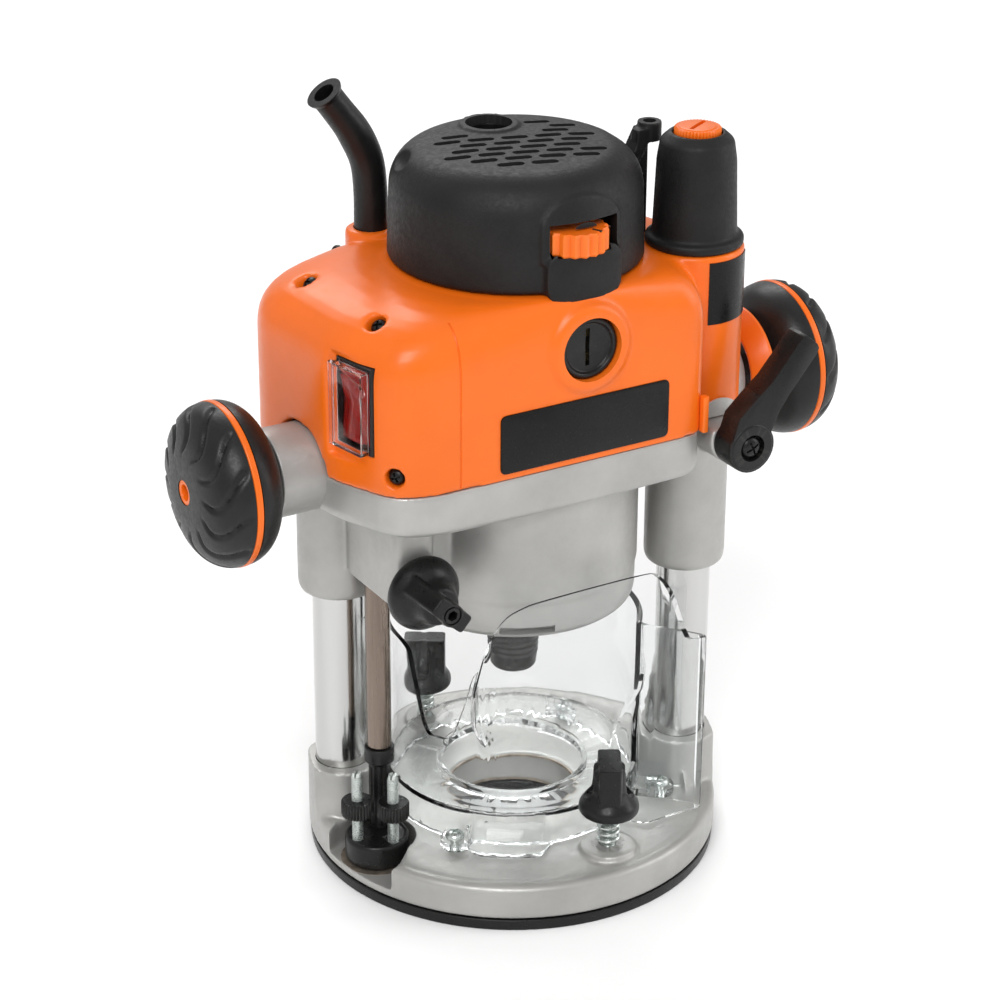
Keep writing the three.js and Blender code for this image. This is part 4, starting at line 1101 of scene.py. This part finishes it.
def make_handles():
    end = KNOB_HALF + 0.2
    sides = (("left", "-X", -HANDLE_X, "head", "handle_bolt_left", 88),
             ("right", "X", HANDLE_X, "winder", "winder_shaft", 80))
    for word, axis, x, body, bolt, start in sides:
        at = (x, 0, HANDLE_Z)
        fine(f"handle_knob_{word}", shifted(make_knob(axis), *at), body, GRIP, 50, f"handle_{word}_grip")
        band = tube(KNOB_RADIUS + 0.15, KNOB_RADIUS - 2.1, -1.35, 1.35, 0.7, sides=128, axis=axis, at=at)
        fine(f"handle_band_{word}", band, body, ORANGE)
        hub = tube(5.2, 3.1, 8.0, end - 0.5, 0.5, sides=64, axis=axis, at=at)
        piece(f"handle_hub_{word}", hub, body, "orange_plastic", ORANGE)
        shaft = disc(4.9, start - HANDLE_X, 7.6, 0.5, sides=48, axis=axis, at=at)
        fine(bolt, shaft, body, STEEL, name=f"handle_shaft_{word}")
    dish = rounded([(18.4, 101), (20.4, 100.2), (23.0, 103.4), (26.4, 107.6), (25.6, 109.1), (18.4, 104.4)],
                   0.8, closed=True)
    fine("clutch_ring", lathe(dish, axis="X", at=(0, 0, HANDLE_Z)), "clutch", ORANGE)


# ---- spindle and inner pieces ----

def make_collet():
    skirt = [(6.7, 77.2), (8.6, 76.2), (9.3, 77.2)]
    for k in range(6):
        z, grow = 82 + 2.6 * k, 0.14 * k
        skirt += [(9.9 + grow, z), (10.15 + grow, z + 0.7), (10.15 + grow, z + 1.5), (9.8 + grow, z + 2.1)]
    skirt += [(11.0, 98.4), (11.75, 99.4), (11.75, 112.6), (8.1, 112.8), (8.1, 97)]
    nut = lathe(skirt, 80)
    cut(nut, *[turned(block(10.5, 20, -12, 12, 99.6, 105.5), 60 * k + 12) for k in range(6)])
    fine("collet_nut", soften(nut, 0.25, 40), "spindle", COLLET_BLACK)
    top = 115.4
    collet = lathe(rounded([(3.2, 79), (6.2, 79), (7.4, 95), (7.4, top), (3.2, top)], 0.4, closed=True), 64)
    cut(collet, *[turned(block(2, 9, -0.3, 0.3, 76, 100), 45 * k) for k in range(8)])
    fine("collet", collet, "spindle", STEEL)


def make_spring():
    low, high = box_of("plunge_spring")
    coil = shifted(helix(6.4, low.z + 1.2, high.z - 1.2, 26, 0.85, 24), *RIGHT.xy)
    fine("plunge_spring", coil, "head", STEEL)
    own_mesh(coil)


CARRIED = {
    "black_plastic": BLACK,
    "polished_steel": STEEL,
    "copper": COPPER,
    "bronze": BRONZE,
    "carbon": CARBON,
}


def dress_carried_nodes():
    """Inner nodes keep their own shape and take a finished surface, with eased edges."""
    for name, obj in frame["nodes"].items():
        if obj.hide_render:
            continue
        obj.data.materials.clear()
        obj.data.materials.append(CARRIED[SLOTS[name]])
        bevel = obj.modifiers.new("bevel", "BEVEL")
        bevel.width = 0.25 * MM
        bevel.segments = 2
        bevel.limit_method = "ANGLE"


# ---- stage ----

CAMERA_TURN = math.radians(-30.6)
CAMERA_RISE = math.radians(24.87)
CAMERA_ROLL = math.radians(0.23)
CAMERA_DISTANCE = 1194.4
CAMERA_LENS = 107.09
CAMERA_SHIFT = 0.0078
AIM_HEIGHT = 149.3
AIM_ASIDE = -8.6
LAMP_AIM = Vector((0, 0, 0.15))


def make_camera():
    data = bpy.data.cameras.new("camera")
    data.lens = CAMERA_LENS
    data.shift_x = CAMERA_SHIFT
    data.clip_start, data.clip_end = 0.05, 50
    camera = added("camera", data)
    back = Vector((math.sin(CAMERA_TURN) * math.cos(CAMERA_RISE),
                   -math.cos(CAMERA_TURN) * math.cos(CAMERA_RISE), math.sin(CAMERA_RISE)))
    right = Vector((math.cos(CAMERA_TURN), math.sin(CAMERA_TURN), 0))
    up = back.cross(right)
    tilt = Matrix.Rotation(CAMERA_ROLL, 3, back)
    basis = Matrix((tilt @ right, tilt @ up, back)).transposed().to_4x4()
    aim = Vector((0, 0, AIM_HEIGHT)) + right * AIM_ASIDE
    camera.matrix_world = Matrix.Translation((aim + back * CAMERA_DISTANCE) * MM) @ basis
    bpy.context.scene.camera = camera


def area_light(name, spot, size, power):
    """A lamp at a spot in metres, aimed at the middle of the router."""
    data = bpy.data.lights.new(name, "AREA")
    data.shape = "RECTANGLE"
    data.size, data.size_y = size
    data.energy = power
    light = added(name, data)
    light.location = spot
    light.rotation_mode = "QUATERNION"
    light.rotation_quaternion = (LAMP_AIM - Vector(spot)).to_track_quat("-Z", "Y")


def make_stage():
    floor = solid("floor", [(x, y, 0) for x, y in rectangle(-4000, 4000, -4000, 4000)], [(0, 1, 2, 3)])
    paper = bpy.data.materials.new("paper")
    paper.use_nodes = True
    shader = paper.node_tree.nodes["Principled BSDF"]
    shader.inputs["Base Color"].default_value = (0.97, 0.97, 0.97, 1)
    shader.inputs["Roughness"].default_value = 0.9
    floor.data.materials.append(paper)
    world = bpy.data.worlds.new("studio")
    world.use_nodes = True
    tree = world.node_tree
    sky = tree.nodes["Background"]
    place = tree.nodes.new("ShaderNodeTexCoord")
    split = tree.nodes.new("ShaderNodeSeparateXYZ")
    link(tree, place.outputs["Generated"], split.inputs["Vector"])
    bands = tree.nodes.new("ShaderNodeValToRGB")
    for spot, grey in ((0.0, 0.75), (0.3, 0.8), (0.42, 0.3), (0.5, 0.85), (0.72, 0.8), (0.84, 0.3),
                       (0.95, 0.8)):
        element = bands.color_ramp.elements.new(spot)
        element.color = (grey, grey, grey, 1)
    link(tree, spread(tree, split.outputs["X"], 0, 1, -1, 1), bands.inputs["Fac"])
    rays = tree.nodes.new("ShaderNodeLightPath")
    link(tree, mixed(tree, rays.outputs["Is Camera Ray"], bands.outputs["Color"], (1.2, 1.2, 1.2)),
         sky.inputs["Color"])
    sky.inputs["Strength"].default_value = 0.9
    bpy.context.scene.world = world
    area_light("key", (-0.9, -1.1, 1.5), (0.9, 0.9), 20)
    area_light("fill", (1.5, -0.9, 0.9), (0.8, 1.4), 10)
    area_light("back", (0.4, 1.4, 1.5), (1.4, 0.7), 14)
    bpy.context.scene.view_settings.view_transform = "Standard"


# ---- the whole router ----

def make_router():
    make_camera()
    make_stage()
    for build in (make_sub_base, make_base, make_columns, make_guard, make_turret, make_clamps,
                  make_casting, make_housing, make_cap, make_dial, make_spring_cap, make_bracket, make_boot,
                  make_brush_caps, make_plates, make_switch, make_lever, make_depth_lock, make_handles,
                  make_collet, make_spring):
        build()
    dress_carried_nodes()


make_router()
